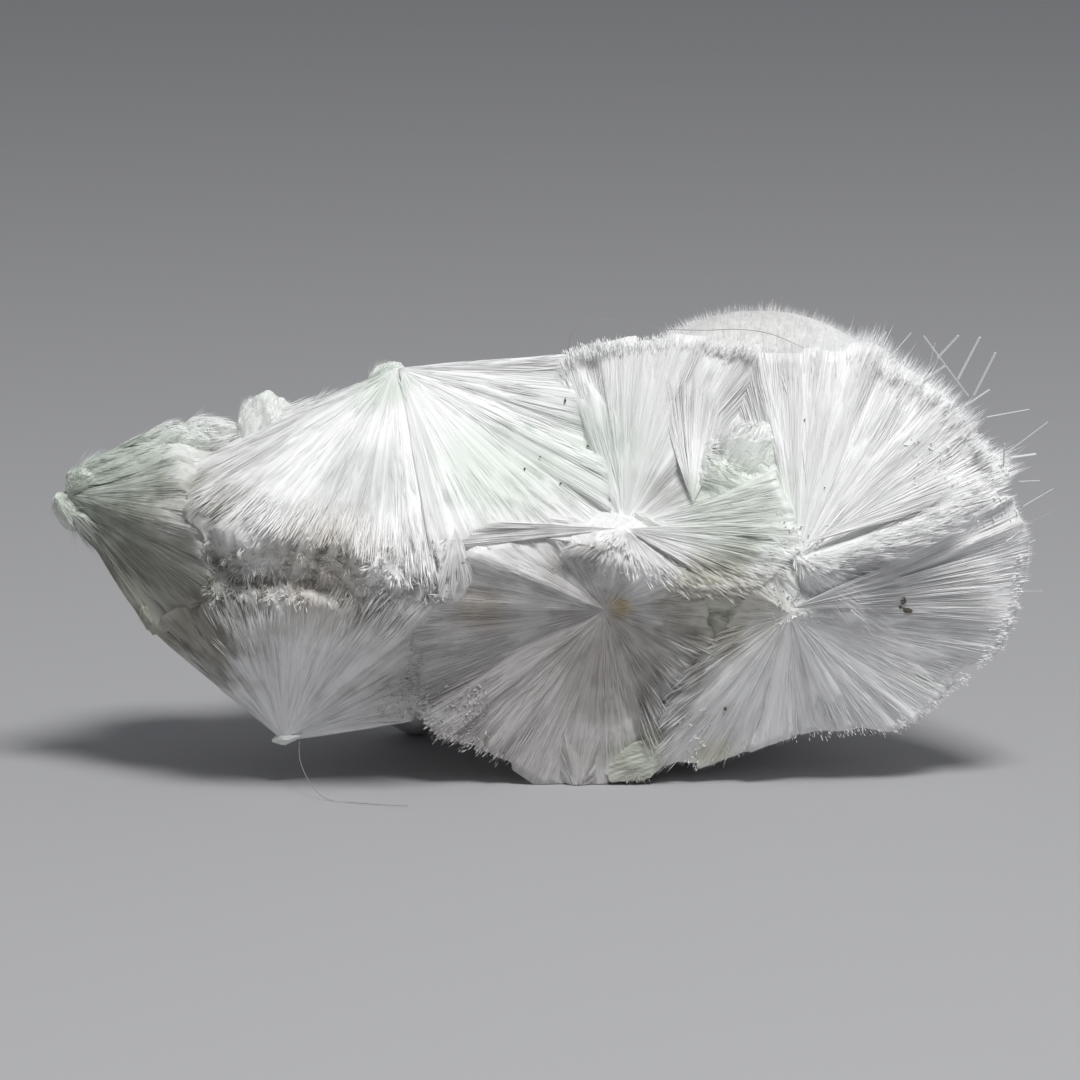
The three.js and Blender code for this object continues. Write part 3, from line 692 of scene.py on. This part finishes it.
# Sheaves. In places a bundle stands out of its fan as a sheet of its own: the bright wedge beside the
# crust, the bundles that sweep over it, the ridge under the upper fan, and a few long tips.
SHEAVES = [
    # where its fibres come from, the places that they spread out to, in mm, how many there are, how far
    # they bow out, and how bright they are
    ((3.98, 0.5, 7.6), [(3.1, 2.0, 10.6), (3.9, 2.1, 11.1), (4.6, 1.9, 10.7), (5.09, 1.4, 9.6)], 1100,
     -0.32, 1.1),
    ((2.2, 0.4, 6.95), [(4.15, -0.75, 5.92), (5.7, -0.8, 6.09), (6.09, -0.6, 6.68), (5.98, -0.1, 7.25)], 1600,
     0.08, 0.6),
    ((2.2, 0.4, 6.95), [(-2.9, -1.65, 6.75), (-2.3, -1.4, 7.05), (-1.6, -1.1, 7.4)], 1300, 0.03, 1.1),
    ((2.2, 0.35, 6.95), [(0.2, -0.8, 6.5), (1.4, -0.85, 6.3), (2.7, -1.15, 5.95), (3.8, -1.1, 5.9)], 1500,
     0.06, 0.3),
    ((6.75, -0.6, 6.7), [(9.6, -0.05, 7.4), (10.9, 0.3, 7.95), (11.6, 0.8, 8.9)], 700, 0.03, 0.7),
    ((6.6, -0.8, 5.0), [(12.2, 0.5, 6.4), (12.2, 0.7, 5.2), (11.9, 0.8, 4.4)], 900, 0.12, 0.9),
    ((6.5, -0.98, 5.1), [(9.2, -0.6, 6.2), (9.7, -0.25, 5.6), (9.4, -0.15, 4.9)], 1300, 0.05, 0.6),
    ((-3.1, -0.9, 7.9), [(-2.85, -1.85, 5.4), (-2.7, -1.85, 5.6)], 90, 0.0, 1.1),
    ((-2.9, -0.9, 7.9), [(-2.5, -1.8, 6.1), (-2.4, -1.8, 6.0)], 60, 0.0, 1.1),
    ((-3.5, -0.9, 7.9), [(-3.1, -2.0, 6.4), (-3.0, -1.9, 6.5)], 60, 0.0, 1.1),
    ((-2.2, -1.2, 7.3), [(-2.7, -1.9, 5.6), (-2.1, -1.8, 5.6), (-1.6, -1.65, 5.9)], 600, 0.1, 0.5),
    ((-6.75, 2.45, 9.2), [(-6.76, 2.3, 10.12), (-6.7, 2.3, 10.05)], 24, 0.0, 1.0),
    ((-6.45, 2.45, 9.2), [(-6.37, 2.3, 10.07), (-6.33, 2.3, 9.95)], 24, 0.0, 1.0),
]


def sheaf(foot, tips, number, bow, bright, draw):
    """Rows of three centres, sides and tones of fibres in clumps, each a stretch of the line from the
    foot to a place between the tips. Their middles are bowed to the front."""
    line = np.array(tips) - FOOT
    foot = np.array(foot) - FOOT
    clump = draw.integers(0, number // TUFT, number)
    place = draw.uniform(0, len(line) - 1, number // TUFT)[clump]
    step = place.astype(int)
    target = mix(line[step], line[step + 1], (place - step)[:, None]) + draw.normal(0, 0.03, (number, 3))
    start = draw.uniform(0.0, 0.6, number)
    end = draw.uniform(0.62, 1.0, number // TUFT)[clump] + draw.normal(0, 0.03, number)
    share = np.stack([start, 0.5 * (start + end), end], 1)[..., None]
    rise = bow * 4 * share * (1 - share) + draw.uniform(-0.02, 0.02, (number, 1, 1))
    centres = mix(foot, target[:, None], share) + rise * unit(FRONT)
    return centres, unit(target - foot), bright + draw.uniform(-0.3, 0.3, number)


SKYWARDS = np.array([0.15, -0.55, 0.85])  # the side that sheaves turn to
draw = np.random.default_rng(3500)
centres, rays, tones = (np.concatenate(each) for each in zip(*(sheaf(*row, draw) for row in SHEAVES)))
widths = TIP_WIDTH * draw.lognormal(0, WIDTH_SPREAD, len(centres))
bristles("sheaves", fibre_finish, centres, SKYWARDS + draw.normal(0, 0.3, rays.shape), widths, rays, tones)


# Knobs and crusts. Between the sprays there are compact, blocky lumps of the same mineral, pale green
# and waxy, with short fibres matted on them.
ALONG_GRAIN = 0.15  # how much slower a block's roughness changes along its grain than across it
GRAIN_STREAKS = 0.15  # how fast its streaks change, in radians to the millimetre
WAVES = 24  # plane waves in a block's noise
MAT_WIDTH = 0.011  # half the width of a matted fibre, in mm
MAT_SPLAY = 0.08  # how far matted fibres lean from the grain, as a share of their length


def sines(places, size, seed):
    """Smooth noise between about -1 and 1: many plane waves in random directions, whose lengths are
    about a size."""
    draw = np.random.default_rng(seed)
    waves = unit(draw.normal(0, 1, (WAVES, 3))) * draw.uniform(0.6, 1.6, (WAVES, 1)) * 2 * np.pi / size
    return np.sin(places @ waves.T + draw.uniform(0, 2 * np.pi, WAVES)).sum(-1) / np.sqrt(WAVES)


def block(name, centre, half, grain, seed, around=72, rows=36, planes=26):
    """A closed, blocky lump. In each direction its surface is the nearest of random planes round the
    middle, stretched to half widths along the grain, into the cluster, and across both. Three sizes of
    noise, drawn out along the grain, roughen it."""
    draw = np.random.default_rng(seed)
    normals = unit(draw.normal(0, 1, (planes, 3)))
    distances = draw.uniform(0.88, 1.0, planes)
    lean = np.linspace(0, np.pi, rows + 1)[1:-1, None]
    turn = np.arange(around) * 2 * np.pi / around
    ways = np.stack([np.sin(lean) * np.cos(turn), np.sin(lean) * np.sin(turn), np.cos(lean) + 0 * turn], -1)
    ways = np.concatenate([[[0, 0, 1.0]], ways.reshape(-1, 3), [[0, 0, -1.0]]])
    facing = (ways @ normals.T / distances).max(-1)
    places = ways / facing[:, None] * half
    flat = places * [ALONG_GRAIN, 1, 1]
    size = np.mean(half[1:])
    rough = size * (0.05 * sines(flat, 0.6 * size, seed + 1) + 0.02 * sines(flat, 0.2 * size, seed + 2)
                    + 0.01 * sines(flat, 0.09 * size, seed + 3))
    along = unit(grain)
    inwards = unit(np.array([0, 1, 0]) - along[1] * along)
    places = (places + ways * rough[:, None]) @ np.stack([along, inwards, np.cross(along, inwards)])
    here = 1 + np.arange(rows - 1)[:, None] * around + np.arange(around)
    beside = np.roll(here, -1, axis=1)
    low, high = slice(None, -1), slice(1, None)
    faces = np.concatenate([
        np.stack([np.zeros(around, int), here[0], beside[0]], -1),
        np.stack([here[low], here[high], beside[high]], -1).reshape(-1, 3),
        np.stack([here[low], beside[high], beside[low]], -1).reshape(-1, 3),
        np.stack([here[-1], np.full(around, len(ways) - 1), beside[-1]], -1)])
    places = places + np.array(centre) - FOOT
    places[:, 2] = np.maximum(places[:, 2], 0)
    piece = mesh_of(name, places, faces)
    values_of(piece.data, "ray", "FLOAT_VECTOR", "POINT", flat * GRAIN_STREAKS)
    values_of(piece.data, "tone", "FLOAT", "POINT", np.full(len(places), 0.5))
    return piece


def matted(name, rows, density, seed):
    """Fibres on blocks: each starts at a random corner of a block's mesh, and runs along the block's
    grain, flat on the surface, up to a few degrees astray, and not past the block's end. Its tip sinks as
    far as the surface of a ball with the block's half widths does."""
    draw = np.random.default_rng(seed)
    feet, ups, grains, longs, sinks = [], [], [], [], []
    for piece, centre, grain, half in rows:
        count = len(piece.data.vertices)
        number = int(density * half[0] * (half[1] + half[2]))
        places, normals = np.empty(count * 3, np.float32), np.empty(count * 3, np.float32)
        piece.data.vertices.foreach_get("co", places)
        piece.data.vertices.foreach_get("normal", normals)
        chosen = draw.integers(0, count, number)
        grain = unit(grain)
        foot = places.reshape(-1, 3)[chosen] / MM
        left = 1 - (foot - (np.array(centre) - FOOT)) @ grain / half[0]
        share = np.minimum(draw.uniform(0.2, 0.7, number), 0.8 * left)
        feet.append(foot)
        ups.append(normals.reshape(-1, 3)[chosen])
        grains.append(np.broadcast_to(grain, (number, 3)))
        longs.append(share * half[0])
        sinks.append(share ** 2 * half[2] / 2)
    feet, ups, grains, longs, sinks = (np.concatenate(each) for each in (feet, ups, grains, longs, sinks))
    grains = unit(grains + draw.normal(0, MAT_SPLAY, grains.shape))
    aims = unit(grains - ups * (grains * ups).sum(-1, keepdims=True))
    tips = feet + aims * longs[:, None] - ups * sinks[:, None]
    seen = ~(buried(tips, None) & buried(feet, None)) & (longs > 0.05)
    feet, tips, ups, aims = feet[seen], tips[seen], ups[seen], aims[seen]
    widths = MAT_WIDTH * draw.lognormal(0, 0.4, len(feet))
    centres = np.stack([feet - ups * SUNK, mix(feet, tips, 0.5) + ups * SUNK, tips], 1)
    bristles(name, fibre_finish, centres, ups, widths, aims, draw.random(len(feet)))


crust_paint = fibre_material("okenite_crust", (0.86, 0.89, 0.85), 0.42, 0.2, 0.6)
BLOCKS = [
    # name, middle, the direction that its fibres run in, and the half widths in mm along them, into the
    # cluster and across both
    ("end_roll", (-10.9, 2.2, 8.38), (1, 0, 0.32), (1.5, 0.55, 0.42)),
    ("end_block_upper", (-12.0, 2.1, 7.95), (1, 0, 0.6), (0.52, 0.5, 0.36)),
    ("end_block_lower", (-12.4, 2.1, 7.15), (0.55, 0, -0.8), (0.55, 0.5, 0.36)),
    ("end_strip", (-11.4, 2.0, 6.4), (0.76, 0, -0.65), (1.45, 0.5, 0.36)),
    ("top_block_left", (-9.85, 2.75, 8.8), (0.9, 0, 0.45), (0.85, 0.75, 0.45)),
    ("top_block_grey", (-8.75, 2.9, 8.9), (1, 0, 0.1), (0.95, 0.9, 0.5)),
    ("top_block_peak", (-7.3, 2.7, 9.2), (0.15, 0, 1), (0.95, 0.8, 0.68)),
    ("top_block_right", (-5.4, 2.8, 9.4), (0.8, 0, 0.6), (1.1, 0.9, 0.7)),
    ("upper_block", (-4.0, 2.6, 10.35), (0.5, 0, 1), (0.7, 0.55, 0.5)),
    ("edge_chip", (-10.2, 1.0, 4.5), (0.5, 0, -0.8), (0.5, 0.35, 0.2)),
    ("apex_knob", (-6.65, 0.5, 1.38), (1, 0, 0.1), (0.3, 0.3, 0.13)),
    ("crust_plate", (5.25, 1.15, 7.65), (1, -0.2, -0.3), (1.5, 0.65, 1.25)),
    ("crust_peak", (5.5, 1.35, 8.5), (0.5, 0, 1), (1.25, 0.6, 0.85)),
    ("crust_corner", (6.0, 0.4, 6.8), (0.6, -0.1, -1), (0.75, 0.42, 0.6)),
    ("crust_root", (4.2, 0.5, 6.4), (1, -0.1, -0.25), (1.3, 0.45, 0.5)),
    ("ledge_block", (4.0, -0.1, 5.4), (1, 0, -0.1), (2.1, 0.6, 0.55)),
    ("hollow_block", (4.6, 0.3, 4.6), (1, 0, -0.2), (1.2, 0.6, 0.8)),
    ("milky_block", (6.3, -0.25, 5.75), (0.7, 0, -0.7), (0.6, 0.35, 0.4)),
    ("foot_block", (2.45, 0.42, 0.75), (1, 0, 0.35), (0.8, 0.14, 0.45)),
]
blocks = {}
for seed, (name, centre, grain, half) in enumerate(BLOCKS):
    blocks[name] = block(name, centre, half, grain, 4000 + 10 * seed)
    finished(blocks[name], crust_paint, "okenite_crust", False)
matted("matted_fibres", [(blocks[row[0]], *row[1:]) for row in BLOCKS[:-1]], 1000, 4900)


# Sugar. Where a face broke across its fibres, and where sprays meet, it is covered with stout little
# crystals that point every way and glint.
def on_surface(low, high, number, draw):
    """Random places on the closed surface of the bundles inside a box, even over its area, and their
    normals. Only faces that are turned to the front count."""
    mesh = body.data
    mesh.calc_loop_triangles()
    corners = np.empty(len(mesh.loop_triangles) * 3, np.int32)
    mesh.loop_triangles.foreach_get("vertices", corners)
    three = body_places[corners.reshape(-1, 3)]
    normals = np.cross(three[:, 1] - three[:, 0], three[:, 2] - three[:, 0])
    middles = three.mean(1) + FOOT
    usable = ((middles > low) & (middles < high)).all(1) & (normals[:, 1] < 0)
    three, normals = three[usable], normals[usable]
    areas = np.linalg.norm(normals, axis=1)
    chosen = draw.choice(len(three), number, p=areas / areas.sum())
    share = draw.random((number, 2, 1))
    share = np.where(share.sum(1, keepdims=True) > 1, 1 - share, share)
    first = three[chosen, 0]
    found = first + share[:, 0] * (three[chosen, 1] - first) + share[:, 1] * (three[chosen, 2] - first)
    return found, normals[chosen] / areas[chosen, None]


SUGAR_ROOT = 0.02  # how deep a crystal sits in the face, in mm
SUGAR_WIDTH = (0.12, 0.4)  # the narrowest and the widest half width, as a share of the length
SUGAR_SPLAY = 0.8  # how far the crystals lean from the face's normal, as a share of their length
OWN_STREAKS = 0.3  # how much the streak noise differs between crystals that point different ways
SUGAR = [
    # a box in mm that holds the face, how many crystals, and how long the longest are
    ((-8.7, -3.0, 5.2), (-2.3, 0.6, 6.9), 1500, 0.13),  # under the curtain
    ((-4.2, -1.0, 1.2), (-1.4, 0.8, 2.9), 700, 0.12),  # the lower edge, left of the foot
    ((2.6, -1.0, 0.3), (4.4, 0.6, 2.2), 400, 0.11),  # and right of it
    ((0.3, -1.5, 5.9), (1.8, 0.5, 6.6), 90, 0.14),  # the hollow under the ridge
    ((6.0, -1.6, 4.6), (7.6, 0.4, 5.6), 300, 0.12),  # the middles of the right balls
    ((6.3, -1.6, 6.0), (7.4, 0.4, 7.2), 140, 0.12),
    ((9.5, -0.6, 7.0), (12.4, 1.6, 9.2), 500, 0.12),  # along the step of the right ball
]
draw = np.random.default_rng(3700)
places, sides = (np.concatenate(each) for each in zip(*(
    on_surface(low, high, number, draw) for low, high, number, _ in SUGAR)))
longest = np.repeat([row[3] for row in SUGAR], [row[2] for row in SUGAR])
lengths = longest * draw.uniform(0.4, 1.0, len(places)) ** 3
aims = unit(sides + draw.normal(0, SUGAR_SPLAY, places.shape) - [0, 0, 0.2])
ends = np.stack([places - SUGAR_ROOT * aims, places + lengths[:, None] * aims], 1)
widths = (lengths * draw.uniform(*SUGAR_WIDTH, len(places)))[:, None] * np.array([1.0, 0.8])
sugar_finish = fibre_material("okenite_sugar", (0.95, 0.96, 0.95), 0.28, 0.2, 0), "okenite_needle"
bristles("sugar_crystals", sugar_finish, ends, draw.normal(0, 1, places.shape), widths, aims * OWN_STREAKS,
         draw.uniform(0, 1.3, len(places)), PRISM, True)


# Tufts. In the hollow under the curtain, broken clumps of short fibres are stuck to the face. Each clump
# is a small spray that points down and outwards.
TUFTS = 300
TUFT_FIBRES = 16
STUCK = 0.06  # how deep a tuft is stuck in the face, in mm
STUB_WIDTH = 0.014  # half the width of its fibres, in mm
draw = np.random.default_rng(3800)
places, sides = on_surface((-8.6, -3.0, 5.3), (-2.5, 0.6, 6.7), TUFTS, draw)
aims = unit(sides + draw.normal(0, 0.5, sides.shape) - [0, 0, 0.5])
longs = draw.uniform(0.15, 0.5, TUFTS)
tones = draw.uniform(-0.4, 1.5, TUFTS)
feet, aims, longs, tones = (np.repeat(each, TUFT_FIBRES, axis=0) for each in (
    places - STUCK * sides, aims, longs, tones))
feet += draw.normal(0, 0.035, feet.shape)
aims = unit(aims + draw.normal(0, 0.22, aims.shape))
tips = feet + aims * (longs * draw.uniform(0.6, 1.0, len(feet)))[:, None]
widths = STUB_WIDTH * draw.lognormal(0, 0.3, len(feet))
bristles("tufts", fibre_finish, np.stack([feet, mix(feet, tips, 0.6), tips], 1),
         SKYWARDS + draw.normal(0, 0.4, feet.shape), widths, aims * OWN_STREAKS, tones)


# Fur. The outside of each ball is down: the free tips of its fibres, which stand straight out from the
# ball's apex.
FUR_WIDTH = 0.009  # half the width of a tip, in mm
WIDEST = np.radians(160)  # no ball is closed further round its axis than this
PROUD, TALLER = 0.06, 1.6  # the share of tips that stand out further, and how many times as far


def fur(own, density, long, out, seed):
    """Tips on a spray's cap, even over the directions of the cap: each starts under the surface and
    ends in a point a little outside it. A few stand out further."""
    spray = sprays[own]
    draw = np.random.default_rng(seed)
    reach = max(spray["reach"], rim_reach(spray, np.linspace(0, 1, 90)).max())
    number = int(density * 2 * np.pi * (1 - np.cos(WIDEST)) * reach ** 2)
    lean = np.arccos(draw.uniform(np.cos(WIDEST), 1, number))
    turn = draw.random(number)
    flank = flank_angle(spray, turn, np.ones(number))
    cap = cap_reach(spray, turn, np.minimum(lean / flank, 1)) * spray["share"]
    keep = (lean < flank) & (draw.random(number) < (cap / reach) ** 2)
    turn, lean, cap = turn[keep], lean[keep], cap[keep]
    ways, outs = towards(spray, turn, lean)
    seen = ~buried(spray["apex"] + ways * cap[:, None], spray)
    ways, outs, cap = ways[seen], outs[seen], cap[seen]
    count = len(cap)
    extra = np.where(draw.random(count) < PROUD, TALLER, 1.0)
    tips = spray["apex"] + ways * (cap + out * extra * draw.uniform(0.2, 1.0, count))[:, None]
    aims = unit(ways + draw.normal(0, 0.1, ways.shape))
    feet = tips - aims * (long * draw.uniform(0.7, 1.3, count))[:, None]
    widths = FUR_WIDTH * draw.lognormal(0, 0.3, count)
    bristles(own + "_fur", fur_finish, np.stack([feet, tips], 1), outs, widths,
             ways + spray["place"] * RAY_STEP, draw.random(count), PRISM)


fur_finish = fibre_material("okenite_fur", (0.95, 0.95, 0.95), 0.4, 0.12, 0), "okenite_fur"
FUR = [
    # the spray, how many tips there are to the square millimetre, how long they are, and how far out of
    # the surface they reach, in mm
    ("back_top_puff", 130, 0.55, 0.27), ("upper_puff", 100, 0.6, 0.3), ("middle_puff", 100, 0.6, 0.3),
    ("back_left_puff", 100, 0.6, 0.3), ("far_left_puff", 100, 0.6, 0.3), ("back_middle_puff", 100, 0.6, 0.3),
    ("back_lower_puff", 100, 0.6, 0.3), ("back_foot", 60, 0.5, 0.2), ("right_upper", 380, 0.9, 0.65),
    ("right_lower", 260, 0.6, 0.2), ("middle", 40, 0.4, 0.08), ("lower_middle", 40, 0.4, 0.05),
    ("lower_left", 40, 0.4, 0.05), ("left", 40, 0.4, 0.05), ("upper_left", 40, 0.5, 0.1),
]
for seed, row in enumerate(FUR):
    fur(*row, 2000 + seed)


# Loose needles. A few stout, clear needles stand out of the fur at the right, and some lie across it.
# Each is a single crystal with blunt ends, rooted between the tips.
NEEDLES = [
    # start and end in mm, and half the width
    ((10.5, 1.6, 11.4), (10.9, 1.3, 11.9), 0.028), ((11.0, 1.4, 10.9), (11.45, 1.0, 11.9), 0.030),
    ((11.4, 1.3, 10.5), (11.85, 1.0, 11.5), 0.028), ((10.1, 0.9, 11.8), (11.15, 0.7, 10.4), 0.018),
    ((11.25, 1.0, 10.2), (11.7, 0.8, 10.55), 0.026), ((10.1, 1.0, 10.8), (10.5, 0.6, 11.2), 0.026),
    ((11.85, 1.2, 9.8), (12.75, 1.0, 10.0), 0.012), ((12.1, 1.0, 8.65), (12.1, 0.7, 9.15), 0.020),
    ((12.5, 1.3, 8.7), (12.95, 1.1, 8.8), 0.030), ((12.8, 1.2, 7.5), (13.4, 1.0, 7.9), 0.014),
    ((12.85, 1.2, 7.0), (13.4, 1.0, 7.3), 0.014), ((12.5, 1.2, 5.15), (13.15, 1.0, 5.2), 0.022),
    ((12.4, 1.6, 8.9), (13.3, 1.8, 9.55), 0.010), ((12.7, 1.3, 8.05), (13.05, 1.1, 8.1), 0.014),
    ((8.85, 2.0, 11.6), (9.05, 2.0, 11.9), 0.020), ((9.3, 1.9, 11.4), (9.7, 1.8, 11.9), 0.012),
    ((10.2, 1.5, 11.2), (10.3, 1.3, 11.7), 0.012), ((12.3, 1.2, 6.2), (12.95, 1.0, 6.55), 0.012),
]
ROOT_LENGTH = 0.2  # how much of a needle is hidden in the fur, in mm
needle_paint, start = new_paint("okenite_needle")
along_needle = start.node("ShaderNodeAttribute", {"attribute_name": "ray"}, output="Vector").noise(40.0, 2.0)
clouded = start.node("ShaderNodeCombineColor", {}, {0: 0.93, 1: 0.95, 2: 0.95}).tinted(
    (0.8, 0.82, 0.82, 1), along_needle.between(0.4, 0.7))
surfaced(start, {"Base Color": clouded, "Roughness": 0.15, "IOR": FIBRE_IOR, "Transmission Weight": 0.05})
draw = np.random.default_rng(5000)
feet = np.array([row[0] for row in NEEDLES]) - FOOT
tips = np.array([row[1] for row in NEEDLES]) - FOOT
feet -= ROOT_LENGTH * unit(tips - feet)
widths = np.array([row[2] for row in NEEDLES])[:, None] * np.array([1.4, 1.2])
bristles("loose_needles", (needle_paint, "okenite_needle"), np.stack([feet, tips], 1),
         draw.normal(0, 1, feet.shape), widths, feet, draw.random(len(feet)), PRISM, True)


# Stray hairs. A textile hair lies over the top of the cluster, and another trails from its lower left
# onto the table.
HAIR_WIDTH = 0.009  # its radius, in mm
HAIRS = {
    "stray_hair_top": [
        (0.73, 2.2, 11.35), (0.82, 2.2, 11.8), (1.15, 2.3, 12.1), (1.65, 2.4, 12.18), (2.25, 2.5, 12.05),
        (2.9, 2.6, 11.9), (4.2, 2.6, 11.85), (5.25, 2.6, 11.87), (6.05, 2.6, 11.75), (6.8, 2.5, 11.45),
        (7.7, 2.2, 11.05), (8.6, 1.6, 10.8)],
    "stray_hair_left": [
        (-6.3, 0.2, 1.35), (-6.25, -0.5, 0.95), (-5.95, -1.1, 0.45), (-5.5, -1.6, 0.17), (-4.8, -1.95, 0.16),
        (-4.1, -2.2, 0.16), (-3.4, -2.4, 0.17)],
}


def hair(name, route, sides=5, steps=6):
    """Closed round tube along a smooth curve through a route's points: between two points it is the
    cubic whose slope at each is half the way from the point before to the point after."""
    points = np.array(route) - FOOT
    slopes = np.gradient(points, axis=0)
    share = np.linspace(0, 1, steps, endpoint=False)[:, None, None]
    here, there, leave, arrive = points[:-1], points[1:], slopes[:-1], slopes[1:]
    line = ((2 * share ** 3 - 3 * share ** 2 + 1) * here + (share ** 3 - 2 * share ** 2 + share) * leave
            + (3 * share ** 2 - 2 * share ** 3) * there + (share ** 3 - share ** 2) * arrive)
    line = np.concatenate([line.transpose(1, 0, 2).reshape(-1, 3), points[-1:]])
    ways = unit(np.gradient(line, axis=0))
    side = unit(np.cross([0.1, 1, 0.2], ways))
    up = np.cross(ways, side)
    turn = np.arange(sides) * 2 * np.pi / sides
    ring = np.cos(turn)[:, None] * side[:, None] + np.sin(turn)[:, None] * up[:, None]
    places = np.concatenate([(line[:, None] + HAIR_WIDTH * ring).reshape(-1, 3), line[[0, -1]]])
    places[:, 2] = np.maximum(places[:, 2], 0)
    here = np.arange(len(line))[:, None] * sides + np.arange(sides)
    beside = np.roll(here, -1, axis=1)
    start = np.full(sides, len(places) - 2)
    faces = np.concatenate([
        np.stack([here[:-1], beside[:-1], beside[1:]], -1).reshape(-1, 3),
        np.stack([here[:-1], beside[1:], here[1:]], -1).reshape(-1, 3),
        np.stack([start, beside[0], here[0]], -1), np.stack([start + 1, here[-1], beside[-1]], -1)])
    finished(mesh_of(name, places, faces), hair_paint, "dust")


def mottled(name, colour, other, spots):
    """A matt material between two colours, with so many spots to the millimetre."""
    paint, start = new_paint(name)
    mask = start.node("ShaderNodeTexCoord", output="Object").noise(spots / MM, 2.0)
    mixed = start.node("ShaderNodeCombineColor", {}, enumerate(colour)).tinted((*other, 1), mask)
    surfaced(start, {"Base Color": mixed})
    return paint


hair_paint = mottled("stray_hair", (0.42, 0.41, 0.38), (0.22, 0.21, 0.19), 1.5)
for name, route in HAIRS.items():
    hair(name, route)


# Dust. A few dark specks of dirt are stuck on the fibres, and one olive pair on the right ball. Each is
# a tiny block with its own planes.
ON_TOP, BETWEEN = 0.3, 0.05  # how far out of the bundles a speck is, on the fibres or between them, in mm
SPECKS = [
    # the place across the front and the radius, in mm, and how far out it is
    ((9.45, 5.13), 0.085, ON_TOP), ((9.55, 4.85), 0.075, ON_TOP), ((9.38, 4.95), 0.04, ON_TOP),
    ((4.83, 2.25), 0.035, BETWEEN), ((1.25, 9.22), 0.025, BETWEEN), ((0.65, 10.41), 0.03, BETWEEN),
    ((0.52, 8.2), 0.02, BETWEEN), ((0.0, 8.93), 0.02, BETWEEN), ((-0.4, 8.6), 0.028, BETWEEN),
    ((6.9, 9.9), 0.02, BETWEEN), ((7.4, 8.1), 0.02, BETWEEN), ((5.6, 6.0), 0.02, BETWEEN),
]
SPECK_GRID = (14, 7, 12)  # points round a speck, rows, and planes
dust_paint = mottled("dust", (0.05, 0.045, 0.04), (0.16, 0.15, 0.10), 12)
tree_of_body = BVHTree.FromObject(body, bpy.context.evaluated_depsgraph_get())
aim = INWARDS / np.linalg.norm(INWARDS)
for seed, ((across, height), radius, out) in enumerate(SPECKS):
    start_at = (np.array([across, 0, height]) - FOOT - 8 * aim) * MM
    hit = tree_of_body.ray_cast(Vector(start_at), Vector(aim))[0]
    centre = np.array(hit) / MM + FOOT - out * aim
    half = (radius, radius * 0.8, radius * 0.9)
    speck = block("speck_%d" % (seed + 1), centre, half, (1, 0, 1), 6000 + seed, *SPECK_GRID)
    finished(speck, dust_paint, "dust", False)


# The stage: a pale floor, a soft lamp from above, and a camera with a long lens, level with the cluster
# and looking down on it a little.
TARGET = np.array([0, 0, 6.72]) - FOOT  # what the camera looks at, in mm
CAMERA_TILT = np.radians(10)  # how far down it looks
CAMERA_DISTANCE = 187.2  # mm
FLOOR_HALF = 900.0  # half width of the floor, in mm
FLOOR_HEIGHT = -0.02  # just under the feet, in mm
LAMP_PLACE = (40, -95, 200)  # mm


def place_at(thing, place, target):
    """Puts a camera or a lamp at a place in mm, turned towards a target: it looks along its own -Z, and
    its own X is level."""
    back = unit(np.array(place) - np.array(target))
    right = unit(np.cross([0, 0, 1], back))
    rows = np.eye(4)
    rows[:3] = np.stack([right, np.cross(back, right), back, np.array(place) * MM], axis=1)
    thing.matrix_world = Matrix(rows.tolist())


camera = bpy.data.objects.new("camera", bpy.data.cameras.new("camera"))
bpy.context.scene.collection.objects.link(camera)
bpy.context.scene.camera = camera
camera.data.lens = 240
camera.data.sensor_width = 36
camera.data.clip_start = 0.01
place_at(camera, TARGET + CAMERA_DISTANCE * np.array([0, -np.cos(CAMERA_TILT), np.sin(CAMERA_TILT)]), TARGET)

corners = [[x * FLOOR_HALF, y * FLOOR_HALF, FLOOR_HEIGHT] for x, y in ((-1, -1), (1, -1), (1, 1), (-1, 1))]
floor = mesh_of("floor", np.array(corners), np.array([[0, 1, 2, 3]]))
paint, start = new_paint("floor")
surfaced(start, {"Base Color": (0.42, 0.42, 0.43, 1), "Roughness": 0.8})
floor.data.materials.append(paint)

lamp = bpy.data.objects.new("lamp", bpy.data.lights.new("lamp", "AREA"))
bpy.context.scene.collection.objects.link(lamp)
lamp.data.size = 0.07
lamp.data.energy = 0.42
place_at(lamp, LAMP_PLACE, (0, 0, 6))
world = bpy.data.worlds.new("studio")
world.use_nodes = True
sky = world.node_tree.nodes["Background"].inputs
sky["Color"].default_value = (0.5, 0.51, 0.54, 1)
sky["Strength"].default_value = 0.42
bpy.context.scene.world = world
bpy.context.scene.view_settings.view_transform = "Standard"
